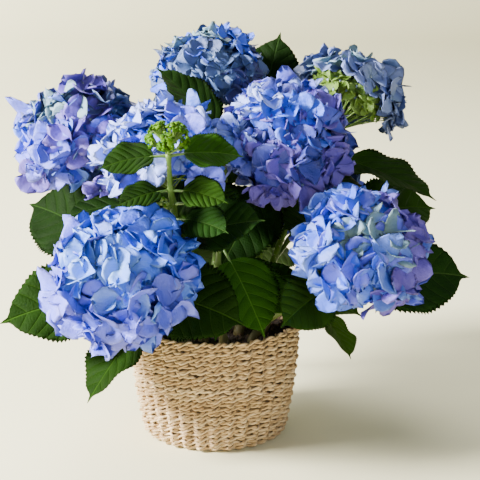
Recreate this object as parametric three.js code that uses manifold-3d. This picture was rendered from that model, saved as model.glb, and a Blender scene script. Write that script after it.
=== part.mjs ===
// A mophead hydrangea in a woven basket: canes rise from the filled basket, each leafy shoot carries
// opposite pairs of large leaves and ends in a domed flower head. Millimetres, +Z up, front is -Y.
// The origin is the centre of the basket's flat underside.
import * as THREE from "three";
import { mergeVertices } from "three/addons/utils/BufferGeometryUtils.js";
import Module from "manifold-3d";

const wasm = await Module();
wasm.setup();

// ---------- Driving dimensions ----------
const BASKET = {
  height: 137, // top of the rim above the surface it stands on
  rim: 100, // outer radius at the rim
  shoulder: 86, // outer radius just above the rounded foot
  foot: 76, // radius of the flat underside
  round: 14, // height of the rounded foot
  belly: 3, // how far the wall swells half way up
  wall: 6,
  floor: 8,
  sides: 36,
};
const SOIL_TOP = 120;
const GAP = 0.3; // running gap that keeps touching pieces apart

const CANE = {
  foot: 4.6, // radius at the potting mix, without the flare
  tip: 3,
  flare: 0.55, // how much wider the foot is, falling away over flareHeight
  flareHeight: 9,
  bow: 0.42, // length of the curve's handles, as a share of the stem's reach
  rise: 0.9, // a stem leaves the mix mostly upwards
  lean: 0.45, // and a little towards its head
  sides: 6,
  step: 26, // between rings
};
const BARE_SHARE = 0.34; // the part of a stem that stays bare cane
const LEAFY_SHARE = 0.39; // no leaf stands lower than this on its stem
const NECK = 0.76; // how far under a head's centre its leafy shoot ends, in head radii

const HEAD = {
  top: 0.8, // height of the dome over its centre, in head radii
  under: 0.62, // depth below its centre
  plate: 0.95, // where the florets stand, as a share of the dome
  core: 0.8,
  flat: 0.15, // how much the core is pressed in along its axis
  root: 0.7, // how deep the florets are sunk in
  stalk: 0.35, // how near the centre the stalk reaches
  spread: 112, // how far round from the top the florets go
  florets: 24,
};
const FLORET = { radius: 0.31, cup: 0.12, tilt: 10, varies: 0.1 };
const BUDS = { top: 0.62, beads: 14, bead: 0.2, core: 0.8, stalk: 0.2 };
const TWIG = 2.2; // radius of the twig under a younger cluster

const LEAF = {
  length: 138, // petiole and blade
  width: 0.62, // of the length
  petiole: 0.2, // share of the length
  droop: 24, // how far the leaf bends down over its length
  hangs: 0.6, // how much less a leaf bends that hangs already
  fold: 0.16, // rise of the margins over the midrib
  thick: 2.2,
  fullest: 0.72, // below 1 the blade is widest nearer its foot
  blunt: 0.8, // below 1 its ends are blunter
  stalkFoot: 2.1, // radius of the petiole where it leaves the stem
  stalkTip: 1.2,
  stalkDrop: 0.3, // how far the petiole lies under the blade's middle
  stalkSunk: 0.1, // how far it runs on into the blade, as a share of the leaf
  stations: [0, 0.17, 0.47, 0.79, 1], // along the blade, from its foot to its tip
  spacing: 38, // between pairs along the stem
  first: 14, // from the neck down to the first pair
};
const LOOKS = { along: 0.6, up: 0.4, outward: 0.5 }; // what a leaf's face turns towards
const VARIES = { turn: 4, tilt: 4, size: 0.05 }; // how much leaves differ from the plan below
const CLEAR = { blade: 11, head: 5, stem: 9.5, petiole: 6.5, pot: 4 }; // room round a leaf's points

// Pairs of leaves that stand crosswise to each other down a stem.
const crossed = (turn, count) =>
  Array.from({ length: count }, (_, i) => [
    [turn + 90 * i, 68, 1],
    [turn + 90 * i + 180, 68, 1],
  ]);

// Each shoot: where its foot stands on the potting mix, the centre, radius and facing of its flower head,
// and its leaf pairs from the neck down. A leaf is its turn about the stem, its angle from the stem, its size
// and, where it has one, its roll towards the front. A turn of 0 is to the right, 90 up or back, 180 left,
// 270 down or to the front. A shoot with buds ends in a green cluster, one with a radius of 0 in its leaves.
const SHOOTS = [
  {
    name: "side_left", foot: [-52, -14], head: [-118, 10, 214], radius: 0, faces: [-0.4, -0.6, 0.65],
    first: 4,
    pairs: [
      [[132, 64, 1.2], [316, 70, 0.8]],
      [[210, 70, 1], [50, 70, 0.9]],
    ],
  },
  {
    name: "side_right", foot: [56, -8], head: [150, 45, 243], radius: 0, faces: [0.45, -0.4, 0.7], first: 4,
    pairs: [
      [[38, 66, 1.04], [196, 66, 0.8]],
      [[100, 70, 1], [290, 70, 0.9]],
    ],
  },
  {
    name: "bud", foot: [-12, -30], head: [-46, -130, 376], radius: 26, faces: [0, -0.35, 0.95], first: 2,
    buds: true,
    side: { below: 62, turn: 215, reach: 17, radius: 12 },
    pairs: [
      [[184, 84, 0.56], [8, 62, 0.6]],
      [[196, 74, 0.5], [338, 78, 0.5]],
      [[275, 70, 0.6], [95, 60, 0.6]],
      [[0, 70, 0.8], [170, 70, 0.8]],
    ],
  },
  {
    name: "middle", foot: [4, 0], head: [10, 36, 340], radius: 0, faces: [-0.05, 0, 1], first: 3,
    pairs: [
      [[170, 2, 0.84], [10, 45, 0.7]],
      [[110, 70, 1], [270, 70, 1]],
      [[180, 70, 1], [0, 70, 1]],
    ],
  },
  {
    name: "upper", foot: [18, 44], head: [58, 192, 325], radius: 0, faces: [0.05, 0.1, 1], first: 4,
    pairs: [
      [[5, 4, 1], [5, 40, 1]],
      [[90, 60, 1], [200, 60, 0.9]],
      [[60, 70, 1], [240, 70, 1]],
    ],
  },
  {
    name: "front_left", foot: [-34, -42], head: [-98, -140, 223], radius: 77, faces: [-0.2, -0.85, 0.45],
    pairs: [
      [[194, 66, 1.2], [346, 74, 1.08]],
      [[234, 76, 0.98], [60, 55, 0.8]],
      [[180, 75, 0.9], [305, 80, 0.9]],
    ],
  },
  {
    name: "front_right", foot: [44, -34], head: [160, -110, 245], radius: 71, faces: [0.3, -0.6, 0.7],
    pairs: [
      [[25, 66, 1.22], [215, 66, 0.78]],
      [[342, 82, 0.7, -50], [130, 60, 0.9]],
      [[195, 75, 0.9], [20, 75, 0.9]],
    ],
  },
  {
    name: "centre_right", foot: [28, -6], head: [81, 8, 345], radius: 75, faces: [0.1, -0.7, 0.7],
    pairs: [
      [[225, 70, 1.05], [320, 80, 0.8]],
      [[180, 75, 1.1], [45, 75, 1]],
      [[250, 70, 1], [320, 70, 1]],
      [[180, 70, 1], [60, 70, 0.9]],
    ],
  },
  {
    name: "centre_left", foot: [-22, -8], head: [-56, -35, 334], radius: 70, faces: [-0.15, -0.5, 0.85],
    pairs: [
      [[166, 80, 0.95], [345, 70, 1]],
      [[270, 70, 0.9], [90, 66, 1]],
      [[0, 70, 1], [180, 70, 1]],
      [[300, 70, 1], [110, 70, 1]],
    ],
  },
  {
    name: "left", foot: [-46, 16], head: [-162, 75, 342], radius: 71, faces: [-0.5, -0.4, 0.75],
    pairs: [
      [[95, 60, 1], [300, 75, 0.8]],
      [[185, 62, 0.9], [10, 60, 0.9]],
      [[100, 70, 1], [290, 70, 0.9]],
      [[190, 70, 1], [20, 70, 0.9]],
    ],
  },
  {
    name: "top", foot: [-4, 22], head: [-8, 136, 403], radius: 71, faces: [-0.15, -0.1, 1],
    pairs: [
      [[170, 70, 1], [350, 70, 0.9]],
      [[90, 66, 1], [280, 66, 1]],
      [[200, 66, 1], [20, 66, 1]],
      [[110, 70, 1], [270, 70, 1]],
    ],
  },
  {
    name: "right", foot: [44, 18], head: [161, 130, 372], radius: 74, faces: [0.45, 0.2, 0.85], spread: 92,
    pairs: [
      [[14, 66, 1.1, 40], [200, 70, 0.9]],
      [[100, 66, 1.05], [290, 66, 1]],
      [[10, 70, 1], [190, 70, 1]],
      [[100, 70, 1], [290, 70, 1]],
    ],
  },
  {
    name: "back_left", foot: [-30, 44], head: [-72, 186, 238], radius: 72, faces: [-0.4, 0.7, 0.55],
    pairs: crossed(185, 3),
  },
  {
    name: "back_right", foot: [32, 44], head: [120, 186, 236], radius: 72, faces: [0.4, 0.7, 0.55],
    pairs: crossed(355, 3),
  },
  {
    name: "front", foot: [12, -46], head: [8, -60, 245], radius: 0, faces: [0.1, -0.8, 0.55], first: 4,
    pairs: [
      [[294, 70, 0.88], [136, 70, 0.75]],
      [[284, 80, 0.9], [190, 80, 0.9]],
      [[270, 84, 0.9], [40, 70, 0.9]],
    ],
  },
  {
    name: "back", foot: [-6, 54], head: [14, 130, 252], radius: 0, faces: [0, 0.75, 0.65], first: 4,
    pairs: crossed(40, 3),
  },
];

const FULL_TURN = 2 * Math.PI;
const GOLDEN = Math.PI * (3 - Math.sqrt(5));
const UP = new THREE.Vector3(0, 0, 1);
const RIGHT = new THREE.Vector3(1, 0, 0);
const rad = THREE.MathUtils.degToRad;

// ---------- Small tools ----------
// A repeatable stream of numbers from 0 to 1.
function stream(seed) {
  let state = seed >>> 0;
  return () => {
    state = (Math.imul(state, 1664525) + 1013904223) >>> 0;
    return state / 4294967296;
  };
}

// A number within `reach` either side of 0.
const sway = (next, reach) => (2 * next() - 1) * reach;

const vector = (list) => (list.isVector3 ? list.clone() : new THREE.Vector3(...list));

// a*x + b*y + ... from pairs of a number and a vector.
function sum(...terms) {
  const out = new THREE.Vector3();
  for (const [scale, v] of terms) out.addScaledVector(v, scale);
  return out;
}

// The part of v at right angles to the unit vector n, made a unit vector.
const across = (v, n) => sum([1, v], [-v.dot(n), n]).normalize();

// A closed geometry's vertices moved by a rule, as a manifold solid.
function solid(geometry, place) {
  geometry.deleteAttribute("normal");
  geometry.deleteAttribute("uv");
  const spots = geometry.attributes.position;
  for (let i = 0; place && i < spots.count; i++) {
    const p = place(spots.getX(i), spots.getY(i), spots.getZ(i));
    spots.setXYZ(i, p.x, p.y, p.z);
  }
  const merged = mergeVertices(geometry, 1e-3);
  return new wasm.Manifold(
    new wasm.Mesh({
      numProp: 3,
      vertProperties: new Float32Array(merged.attributes.position.array),
      triVerts: new Uint32Array(merged.index.array),
    }),
  );
}

const fuse = (solids) => wasm.Manifold.union(solids);

// A manifold solid's largest body as a named mesh.
function piece(name, made, material) {
  const bodies = made.decompose();
  const body = bodies.reduce((a, b) => (b.volume() > a.volume() ? b : a));
  const { vertProperties, triVerts } = body.getMesh();
  const geometry = new THREE.BufferGeometry();
  geometry.setAttribute("position", new THREE.BufferAttribute(new Float32Array(vertProperties), 3));
  geometry.setIndex(new THREE.BufferAttribute(new Uint32Array(triVerts), 1));
  geometry.computeVertexNormals();
  const mesh = new THREE.Mesh(geometry, material);
  mesh.name = name;
  return mesh;
}

const finish = (color, roughness) => new THREE.MeshStandardMaterial({ color, roughness, metalness: 0 });

const STRAW = finish(0xcdb48f, 0.85);
const POTTING_MIX = finish(0x3a2a1c, 0.95);
const GREEN_CANE = finish(0x5f7a34, 0.6);
const LEAF_GREEN = finish(0x2c4a1e, 0.5);
const BLUE = finish(0x7d92d6, 0.65);
const BUD_GREEN = finish(0x9fc44a, 0.6);

// ---------- Basket and potting mix ----------
// The wall's outer radius at a height above the underside.
function wallRadius(z) {
  if (z <= BASKET.round) {
    const turn = Math.acos(1 - z / BASKET.round);
    return BASKET.foot + (BASKET.shoulder - BASKET.foot) * Math.sin(turn);
  }
  const share = (z - BASKET.round) / (BASKET.height - BASKET.round);
  return BASKET.shoulder + (BASKET.rim - BASKET.shoulder) * share + BASKET.belly * Math.sin(Math.PI * share);
}

// A ring of heights, each a point of a lathe profile at a set distance inside the wall's outer face.
const wallLine = (heights, inset) => heights.map((z) => new THREE.Vector2(wallRadius(z) - inset, z));

function lathe(profile) {
  // A lathe turns about Y, so the profile's height goes to Z afterwards.
  return solid(new THREE.LatheGeometry(profile, BASKET.sides), (x, y, z) => new THREE.Vector3(x, -z, y));
}

function makeBasket() {
  const { height, floor, wall, round } = BASKET;
  const outer = wallLine([0, round * 0.3, round, height * 0.4, height * 0.7, height], 0);
  const inner = wallLine([height, height * 0.7, height * 0.4, floor], wall);
  return lathe([new THREE.Vector2(0, 0), ...outer, ...inner, new THREE.Vector2(0, floor)]);
}

function makeSoil() {
  const { height, floor, wall } = BASKET;
  const side = wallLine([floor + GAP, height * 0.4, height * 0.7, SOIL_TOP], wall + 2 * GAP);
  return lathe([new THREE.Vector2(0, floor + GAP), ...side, new THREE.Vector2(0, SOIL_TOP)]);
}

// ---------- Stems ----------
// A shoot's stem: it leaves the soil upright, and comes into the head along the way the head faces.
function stemOf(shoot) {
  const head = vector(shoot.head);
  const facing = vector(shoot.faces).normalize();
  const neck = sum([1, head], [-NECK * shoot.radius, facing]);
  const foot = new THREE.Vector3(...shoot.foot, SOIL_TOP + GAP);
  const reach = neck.distanceTo(foot) * CANE.bow;
  const lean = across(sum([1, neck], [-1, foot]), UP);
  const start = sum([1, foot], [reach, sum([CANE.rise, UP], [CANE.lean, lean])]);
  return new THREE.CubicBezierCurve3(foot, start, sum([1, neck], [-reach, facing]), neck);
}

// The stem's unit direction and two unit vectors across it: right as seen, and up or back as seen.
function frameAt(curve, share) {
  const along = curve.getTangent(share).normalize();
  const right = across(RIGHT, along);
  return { along, right, back: new THREE.Vector3().crossVectors(along, right) };
}

const stemRadius = (share) => CANE.foot + (CANE.tip - CANE.foot) * share;

// One tapering limb between two shares of a curve. A level one is cut level at the curve's start.
function limb(curve, from, to, radiusAt, { sides = CANE.sides, level = false } = {}) {
  const steps = Math.max(1, Math.round((curve.getLength() * (to - from)) / CANE.step));
  const tube = new THREE.CylinderGeometry(1, 1, 1, sides, steps);
  return solid(tube, (x, y, z) => {
    const share = from + (to - from) * (y + 0.5);
    const { along, right } = frameAt(curve, share);
    const side = new THREE.Vector3().crossVectors(right, along);
    const r = radiusAt(share);
    const p = sum([1, curve.getPoint(share)], [x * r, right], [z * r, side]);
    if (level && share === 0) p.z = curve.getPoint(0).z;
    return p;
  });
}

// The bare cane, flared at its foot and cut level where it meets the potting mix.
function makeCane(shoot) {
  const length = shoot.stem.getLength();
  const flared = (share) => {
    const height = share * length;
    return stemRadius(share) * (1 + CANE.flare * Math.exp(-height / CANE.flareHeight));
  };
  return limb(shoot.stem, 0, BARE_SHARE, flared, { level: true });
}

// ---------- Leaves ----------
// A leaf's course: it leaves the stem in one direction and bends down towards its tip.
function leafCourse(leaf, share) {
  const bend = rad(leaf.droop);
  const down = across(sum([-1, UP]), leaf.out);
  const turned = bend * share;
  const along = sum([Math.cos(turned), leaf.out], [Math.sin(turned), down]);
  const at = sum(
    [1, leaf.foot],
    [(leaf.length * Math.sin(turned)) / bend, leaf.out],
    [(leaf.length * (1 - Math.cos(turned))) / bend, down],
  );
  const face = across(leaf.face, along);
  return { at, along, face, side: new THREE.Vector3().crossVectors(along, face) };
}

// Half the blade's width at a share of the blade, as a share of its greatest.
const bladeOutline = (t) => Math.pow(Math.max(0, Math.sin(Math.PI * Math.pow(t, LEAF.fullest))), LEAF.blunt);

// A point of the blade: t along it, u across from -1 to 1.
function bladePoint(leaf, t, u) {
  const { at, face, side } = leafCourse(leaf, LEAF.petiole + (1 - LEAF.petiole) * t);
  const half = 0.5 * LEAF.width * leaf.length * bladeOutline(t);
  return sum([1, at], [half * u, side], [half * Math.abs(u) * LEAF.fold, face]);
}

// A leaf of a shoot. Its face looks the way the stem grows, up, and out from the middle of the plant.
function leafAt(shoot, share, [turn, tilt, size, roll = 0]) {
  const { along, right, back } = frameAt(shoot.stem, share);
  const foot = shoot.stem.getPoint(share);
  const aside = sum([Math.cos(rad(turn)), right], [Math.sin(rad(turn)), back]);
  const out = sum([Math.cos(rad(tilt)), along], [Math.sin(rad(tilt)), aside]).normalize();
  const outward = new THREE.Vector3(foot.x, foot.y, 0).normalize();
  const looks = sum([LOOKS.along, along], [LOOKS.up, UP], [LOOKS.outward, outward]);
  const upright = across(looks, out);
  const front = new THREE.Vector3().crossVectors(out, upright);
  const toFront = front.y < 0 ? 1 : -1;
  const face = sum([Math.cos(rad(roll)), upright], [toFront * Math.sin(rad(roll)), front]);
  const droop = LEAF.droop * (1 - LEAF.hangs * Math.max(0, -out.z));
  return { shoot, foot, out, face, droop, length: LEAF.length * size };
}

// Points spread over a leaf, for telling whether it has room.
const PROBES = {
  along: [0.03, 0.14, 0.26, 0.38, 0.5, 0.62, 0.74, 0.86, 0.94, 1],
  aside: [-1, -0.66, -0.33, 0, 0.33, 0.66, 1],
  petiole: [0.03, 0.06, 0.09, 0.12, 0.15, 0.18, 0.21],
  stem: 48,
};
const bladeProbes = (leaf) => PROBES.along.flatMap((t) => PROBES.aside.map((u) => bladePoint(leaf, t, u)));
const petioleProbes = (leaf) => PROBES.petiole.map((share) => leafCourse(leaf, share).at);

// Whether a point lies in a head's dome, or within `margin` of it.
function inHead(shoot, p, margin) {
  const facing = vector(shoot.faces).normalize();
  const from = sum([1, p], [-1, vector(shoot.head)]);
  const height = from.dot(facing);
  const aside = sum([1, from], [-height, facing]).length();
  const reach = (height > 0 ? HEAD.top : HEAD.under) * shoot.radius + margin;
  const power = height > 0 ? 2 : 4;
  return Math.pow(aside / (shoot.radius + margin), power) + Math.pow(Math.abs(height) / reach, power) < 1;
}

// Whether a point lies in the basket or the soil, or within `margin` of them.
function inPot(p, margin) {
  const aside = Math.hypot(p.x, p.y);
  if (p.z < 0) return true;
  if (p.z < SOIL_TOP + margin && aside < BASKET.rim) return true;
  const off = Math.abs(aside - wallRadius(Math.min(p.z, BASKET.height)));
  return p.z < BASKET.height + margin && off < BASKET.wall + margin;
}

const near = (some, others, gap) => some.some((p) => others.some((q) => p.distanceTo(q) < gap));

function hasRoom(leaf, placed) {
  const { probes, foot, length } = leaf;
  if (probes.some((p) => inPot(p, CLEAR.pot))) return false;
  const inDome = (dome, p) => inHead(dome, p, dome === leaf.shoot ? 0 : CLEAR.head);
  if (DOMES.some((dome) => probes.some((p) => inDome(dome, p)))) return false;
  for (const shoot of SHOOTS) {
    if (near(probes, shoot.probes, CLEAR.stem)) return false;
    // A petiole only has to pass the stems of other shoots.
    if (shoot !== leaf.shoot && near(leaf.petiole, shoot.probes, CLEAR.petiole)) return false;
  }
  for (const other of placed) {
    if (foot.distanceTo(other.foot) > length + other.length + CLEAR.blade) continue;
    if (near(probes, other.probes, CLEAR.blade)) return false;
    if (other.shoot === leaf.shoot) continue;
    if (near(leaf.petiole, other.petiole, CLEAR.petiole)) return false;
    if (near(leaf.petiole, other.probes, CLEAR.stem) || near(probes, other.petiole, CLEAR.stem)) return false;
  }
  return true;
}

// The ways a leaf may give when something is in its place: swung round the stem, lifted or lowered, smaller.
// The least change comes first, and a smaller leaf counts as much as one swung SHRINKS times the change.
const SHRINKS = 120;
const GIVES = [];
for (const size of [1, 0.85, 0.7, 0.58]) {
  for (const lift of [0, -12, 12, -24, 24]) {
    for (const swing of [0, 12, -12, 24, -24, 36, -36, 48, -48]) GIVES.push({ size, lift, swing });
  }
}
const effort = ({ size, lift, swing }) => Math.abs(lift) + Math.abs(swing) + SHRINKS * (1 - size);
GIVES.sort((a, b) => effort(a) - effort(b));

// The first way in which a leaf has room, or nothing where it has none.
function fitLeaf(shoot, share, [turn, tilt, size, roll], placed) {
  for (const give of GIVES) {
    const leaf = leafAt(shoot, share, [turn + give.swing, tilt + give.lift, size * give.size, roll]);
    leaf.probes = bladeProbes(leaf);
    leaf.petiole = petioleProbes(leaf);
    if (hasRoom(leaf, placed)) return leaf;
  }
  return null;
}

// Leaves in opposite pairs, the top pairs of all shoots first. A leaf with no room is left out.
function growLeaves() {
  const placed = [];
  const next = stream(2);
  const most = Math.max(...SHOOTS.map((shoot) => shoot.pairs.length));
  for (let pair = 0; pair < most; pair++) {
    for (const shoot of SHOOTS) {
      if (pair >= shoot.pairs.length) continue;
      const below = (shoot.first ?? LEAF.first) + LEAF.spacing * pair;
      const share = 1 - below / shoot.stem.getLength();
      if (share < LEAFY_SHARE) continue;
      for (const [planned, angle, scale, roll] of shoot.pairs[pair]) {
        const turn = planned + sway(next, VARIES.turn);
        const tilt = angle + sway(next, VARIES.tilt);
        const size = scale * (1 + sway(next, VARIES.size));
        const leaf = fitLeaf(shoot, share, [turn, tilt, size, roll], placed);
        if (leaf) placed.push(leaf);
      }
    }
  }
  return placed;
}

// A blade as a thin lens with a raised margin: a ball of four meridians drawn out along the leaf.
function makeBlade(leaf) {
  const rings = LEAF.stations.length - 1;
  return solid(new THREE.SphereGeometry(1, 4, rings), (x, y, z) => {
    const ring = Math.round((Math.acos(THREE.MathUtils.clamp(y, -1, 1)) / Math.PI) * rings);
    const t = LEAF.stations[rings - ring];
    if (ring === 0 || ring === rings) return bladePoint(leaf, t, 0);
    const { face } = leafCourse(leaf, LEAF.petiole + (1 - LEAF.petiole) * t);
    const aside = Math.round(x / Math.hypot(x, z));
    const lift = Math.round(z / Math.hypot(x, z));
    return sum([1, bladePoint(leaf, t, aside)], [0.5 * LEAF.thick * lift, face]);
  });
}

// The petiole runs from inside the stem to inside the blade.
function makePetiole(leaf) {
  const inBlade = LEAF.petiole + LEAF.stalkSunk;
  return solid(new THREE.CylinderGeometry(1, 1, 1, 3, 1), (x, y, z) => {
    const { at, face, side } = leafCourse(leaf, inBlade * (y + 0.5));
    const r = THREE.MathUtils.lerp(LEAF.stalkFoot, LEAF.stalkTip, y + 0.5);
    return sum([1, at], [x * r, side], [z * r - LEAF.stalkDrop, face]);
  });
}

// ---------- Flower heads ----------
// Where a dome's surface lies for an angle from its axis and a turn about it, and which way it faces there.
function domeSpot(shoot, angle, turn, share, top) {
  const facing = vector(shoot.faces).normalize();
  const right = across(RIGHT, facing);
  const back = new THREE.Vector3().crossVectors(facing, right);
  const aside = sum([Math.cos(turn), right], [Math.sin(turn), back]);
  const height = Math.cos(angle) > 0 ? top : HEAD.under;
  const out = sum([Math.sin(angle), aside], [Math.cos(angle) / height, facing]).normalize();
  const at = sum(
    [1, vector(shoot.head)],
    [share * shoot.radius * Math.sin(angle), aside],
    [share * shoot.radius * height * Math.cos(angle), facing],
  );
  return { at, out };
}

// Spots evenly over the dome in a sunflower spiral.
function domeSpots(shoot, count, share, top) {
  const span = 1 - Math.cos(rad(shoot.spread ?? HEAD.spread));
  return Array.from({ length: count }, (_, i) => {
    const angle = Math.acos(1 - ((i + 0.5) / count) * span);
    return domeSpot(shoot, angle, i * GOLDEN, share, top);
  });
}

// A floret: four sepals as a shallow square cup, drawn in to a root deep in the head.
function makeFloret(shoot, spot, next) {
  const centre = vector(shoot.head);
  const root = sum([1, centre], [HEAD.root / HEAD.plate, sum([1, spot.at], [-1, centre])]);
  const lean = domeSpot(shoot, next() * Math.PI, next() * FULL_TURN, 1, 1).out;
  const out = sum([1, spot.out], [Math.sin(rad(FLORET.tilt)), lean]).normalize();
  const first = across(Math.abs(out.x) < 0.9 ? RIGHT : UP, out);
  const second = new THREE.Vector3().crossVectors(first, out);
  const spin = next() * FULL_TURN;
  const radius = FLORET.radius * shoot.radius * (1 + sway(next, FLORET.varies));
  return solid(new THREE.SphereGeometry(1, 4, 2), (x, y, z) => {
    if (y > 0.5) return sum([1, spot.at], [-FLORET.cup * radius, out]);
    if (y < -0.5) return root;
    const turn = Math.atan2(z, x) + spin;
    return sum([1, spot.at], [radius * Math.cos(turn), first], [radius * Math.sin(turn), second]);
  });
}

// The stalk that joins a head to its shoot.
function makeStalk(shoot, reach) {
  const facing = vector(shoot.faces).normalize();
  const neck = sum([1, vector(shoot.head)], [-NECK * shoot.radius + GAP, facing]);
  const line = new THREE.LineCurve3(neck, sum([1, vector(shoot.head)], [-reach * shoot.radius, facing]));
  return limb(line, 0, 1, (share) => CANE.tip * (1 + share));
}

function makeHead(shoot) {
  const next = stream(shoot.seed);
  const facing = vector(shoot.faces).normalize();
  const centre = vector(shoot.head);
  const core = solid(new THREE.IcosahedronGeometry(HEAD.core * shoot.radius, 1), (x, y, z) => {
    const p = new THREE.Vector3(x, y, z);
    return sum([1, centre], [1, p], [-HEAD.flat * p.dot(facing), facing]);
  });
  const count = Math.round((HEAD.florets * (shoot.spread ?? HEAD.spread)) / HEAD.spread);
  const florets = domeSpots(shoot, count, HEAD.plate, HEAD.top).map((spot) => makeFloret(shoot, spot, next));
  return fuse([core, makeStalk(shoot, HEAD.stalk), ...florets]);
}

// The younger cluster that stands beside a stem, on a short side twig.
function youngHead({ stem, side, seed }) {
  const share = 1 - side.below / stem.getLength();
  const { along, right, back } = frameAt(stem, share);
  const aside = sum([Math.cos(rad(side.turn)), right], [Math.sin(rad(side.turn)), back]);
  const foot = stem.getPoint(share);
  const head = sum([1, foot], [side.reach, aside], [0.5 * side.reach, along]);
  return { head, foot, faces: sum([0.6, aside], [1, along]).normalize(), radius: side.radius, seed };
}

// Its twig, from inside the stem to inside the cluster.
function makeTwig(young) {
  return limb(new THREE.LineCurve3(young.foot, young.head), 0, 1, () => TWIG, { sides: 3 });
}

// A young head: a low dome of small beads.
function makeBuds(shoot) {
  const centre = vector(shoot.head);
  const facing = vector(shoot.faces).normalize();
  const core = solid(new THREE.IcosahedronGeometry(BUDS.core * shoot.radius, 0), (x, y, z) => {
    const p = new THREE.Vector3(x, y, z);
    return sum([1, centre], [1, p], [-(1 - BUDS.top) * p.dot(facing), facing]);
  });
  const beads = domeSpots(shoot, BUDS.beads, BUDS.core, BUDS.top).map(({ at }) => {
    const bead = new THREE.OctahedronGeometry(BUDS.bead * shoot.radius, 0);
    return solid(bead, (x, y, z) => sum([1, at], [1, new THREE.Vector3(x, y, z)]));
  });
  return fuse([core, ...beads]);
}

// ---------- Assembly ----------
SHOOTS.forEach((shoot, i) => {
  shoot.seed = 101 + i;
  shoot.stem = stemOf(shoot);
  shoot.probes = shoot.stem.getPoints(PROBES.stem);
  if (shoot.side) shoot.young = youngHead(shoot);
});
const DOMES = [...SHOOTS, ...SHOOTS.map((shoot) => shoot.young)].filter((dome) => dome?.radius);

const plant = new THREE.Group();
plant.add(piece("basket", makeBasket(), STRAW));
plant.add(piece("potting_mix", makeSoil(), POTTING_MIX));

const leaves = growLeaves();
for (const shoot of SHOOTS) {
  const length = shoot.stem.getLength();
  const start = BARE_SHARE + GAP / length;
  const own = leaves.filter((leaf) => leaf.shoot === shoot);
  const spray = fuse([
    limb(shoot.stem, start, 1, stemRadius),
    ...own.flatMap((leaf) => [makePetiole(leaf), makeBlade(leaf)]),
    ...(shoot.young ? [makeTwig(shoot.young), makeBuds(shoot.young)] : []),
  ]);
  plant.add(piece(`cane_${shoot.name}`, makeCane(shoot), GREEN_CANE));
  plant.add(piece(`leaves_${shoot.name}`, spray, LEAF_GREEN));
  if (shoot.buds) {
    plant.add(piece(`buds_${shoot.name}`, fuse([makeBuds(shoot), makeStalk(shoot, BUDS.stalk)]), BUD_GREEN));
  }
  if (shoot.radius && !shoot.buds) plant.add(piece(`bloom_${shoot.name}`, makeHead(shoot), BLUE));
}

export default plant;
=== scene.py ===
"""A potted mophead hydrangea in a woven rope basket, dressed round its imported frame. Metres, +Z up, front -Y.

The plant is grown here by the same rule as its solids: the shoots, leaf pairs and flower heads stand where
theirs stand, with finer leaves, florets and stalks within the same reach. Its sizes are in millimetres.
"""
import math
from types import SimpleNamespace as Values

import bmesh
import bpy
import numpy as np
from mathutils import Matrix, Vector


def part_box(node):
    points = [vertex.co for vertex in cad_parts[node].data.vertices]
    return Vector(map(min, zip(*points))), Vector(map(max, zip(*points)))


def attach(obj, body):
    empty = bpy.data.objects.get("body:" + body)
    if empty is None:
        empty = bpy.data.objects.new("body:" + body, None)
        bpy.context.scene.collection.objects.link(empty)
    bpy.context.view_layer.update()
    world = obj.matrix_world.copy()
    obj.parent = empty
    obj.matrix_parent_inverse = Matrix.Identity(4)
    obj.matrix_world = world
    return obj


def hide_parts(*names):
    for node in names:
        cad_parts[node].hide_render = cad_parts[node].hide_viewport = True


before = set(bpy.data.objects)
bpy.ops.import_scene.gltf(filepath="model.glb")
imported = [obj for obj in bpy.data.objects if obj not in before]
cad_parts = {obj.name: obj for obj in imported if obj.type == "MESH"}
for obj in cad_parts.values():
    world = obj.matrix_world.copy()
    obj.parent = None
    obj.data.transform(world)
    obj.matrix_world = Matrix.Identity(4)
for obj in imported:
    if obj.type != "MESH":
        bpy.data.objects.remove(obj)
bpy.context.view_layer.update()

# ---------- Camera, floor and light ----------
# A pale sweep runs level under the pot and rises far behind it. A soft lamp stands on the left, a weak one
# fills from the front, one rims the crown, one lights the sweep, and the camera looks a little down.
MM = 0.001
AIM = Vector((0.030, 0, 0.231))
DISTANCE = 1.8
PITCH = math.radians(14.5)

camera = bpy.data.objects.new("camera", bpy.data.cameras.new("camera"))
camera.data.lens = 116.4
camera.data.sensor_width = 36
camera.location = AIM + DISTANCE * Vector((0, -math.cos(PITCH), math.sin(PITCH)))
camera.rotation_euler = (math.pi / 2 - PITCH, 0, 0)
bpy.context.collection.objects.link(camera)
bpy.context.scene.camera = camera


def lamp(name, place, size, power, colour, aim=AIM):
    """A square soft lamp and the spot that it looks at."""
    data = bpy.data.lights.new(name, "AREA")
    data.size = size
    data.energy = power
    data.color = colour
    made = bpy.data.objects.new(name, data)
    made.location = place
    made.rotation_euler = (Vector(aim) - Vector(place)).to_track_quat("-Z", "Y").to_euler()
    bpy.context.collection.objects.link(made)


lamp("key", (-2.6, -0.75, 1.5), 0.8, 660, (1.0, 0.97, 0.93))
lamp("fill", (1.2, -2.3, 1.0), 1.6, 26, (0.94, 0.97, 1.0))
lamp("rim", (-0.4, 1.6, 1.8), 0.9, 50, (1.0, 0.98, 0.95))
lamp("sweep_lamp", (-2.6, 2.6, 1.6), 1.2, 300, (1.0, 0.98, 0.92), (-1.5, 4.6, 0))

world = bpy.data.worlds.new("studio")
world.use_nodes = True
world.node_tree.nodes["Background"].inputs["Color"].default_value = (0.93, 0.95, 1.0, 1)
world.node_tree.nodes["Background"].inputs["Strength"].default_value = 0.34
bpy.context.scene.world = world


def plain(name, colour, roughness):
    """A material of one base colour, with the shader that the finishes build on."""
    made = bpy.data.materials.new(name)
    made.use_nodes = True
    shader = made.node_tree.nodes["Principled BSDF"]
    shader.inputs["Base Color"].default_value = (*colour, 1)
    shader.inputs["Roughness"].default_value = roughness
    return made


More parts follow.
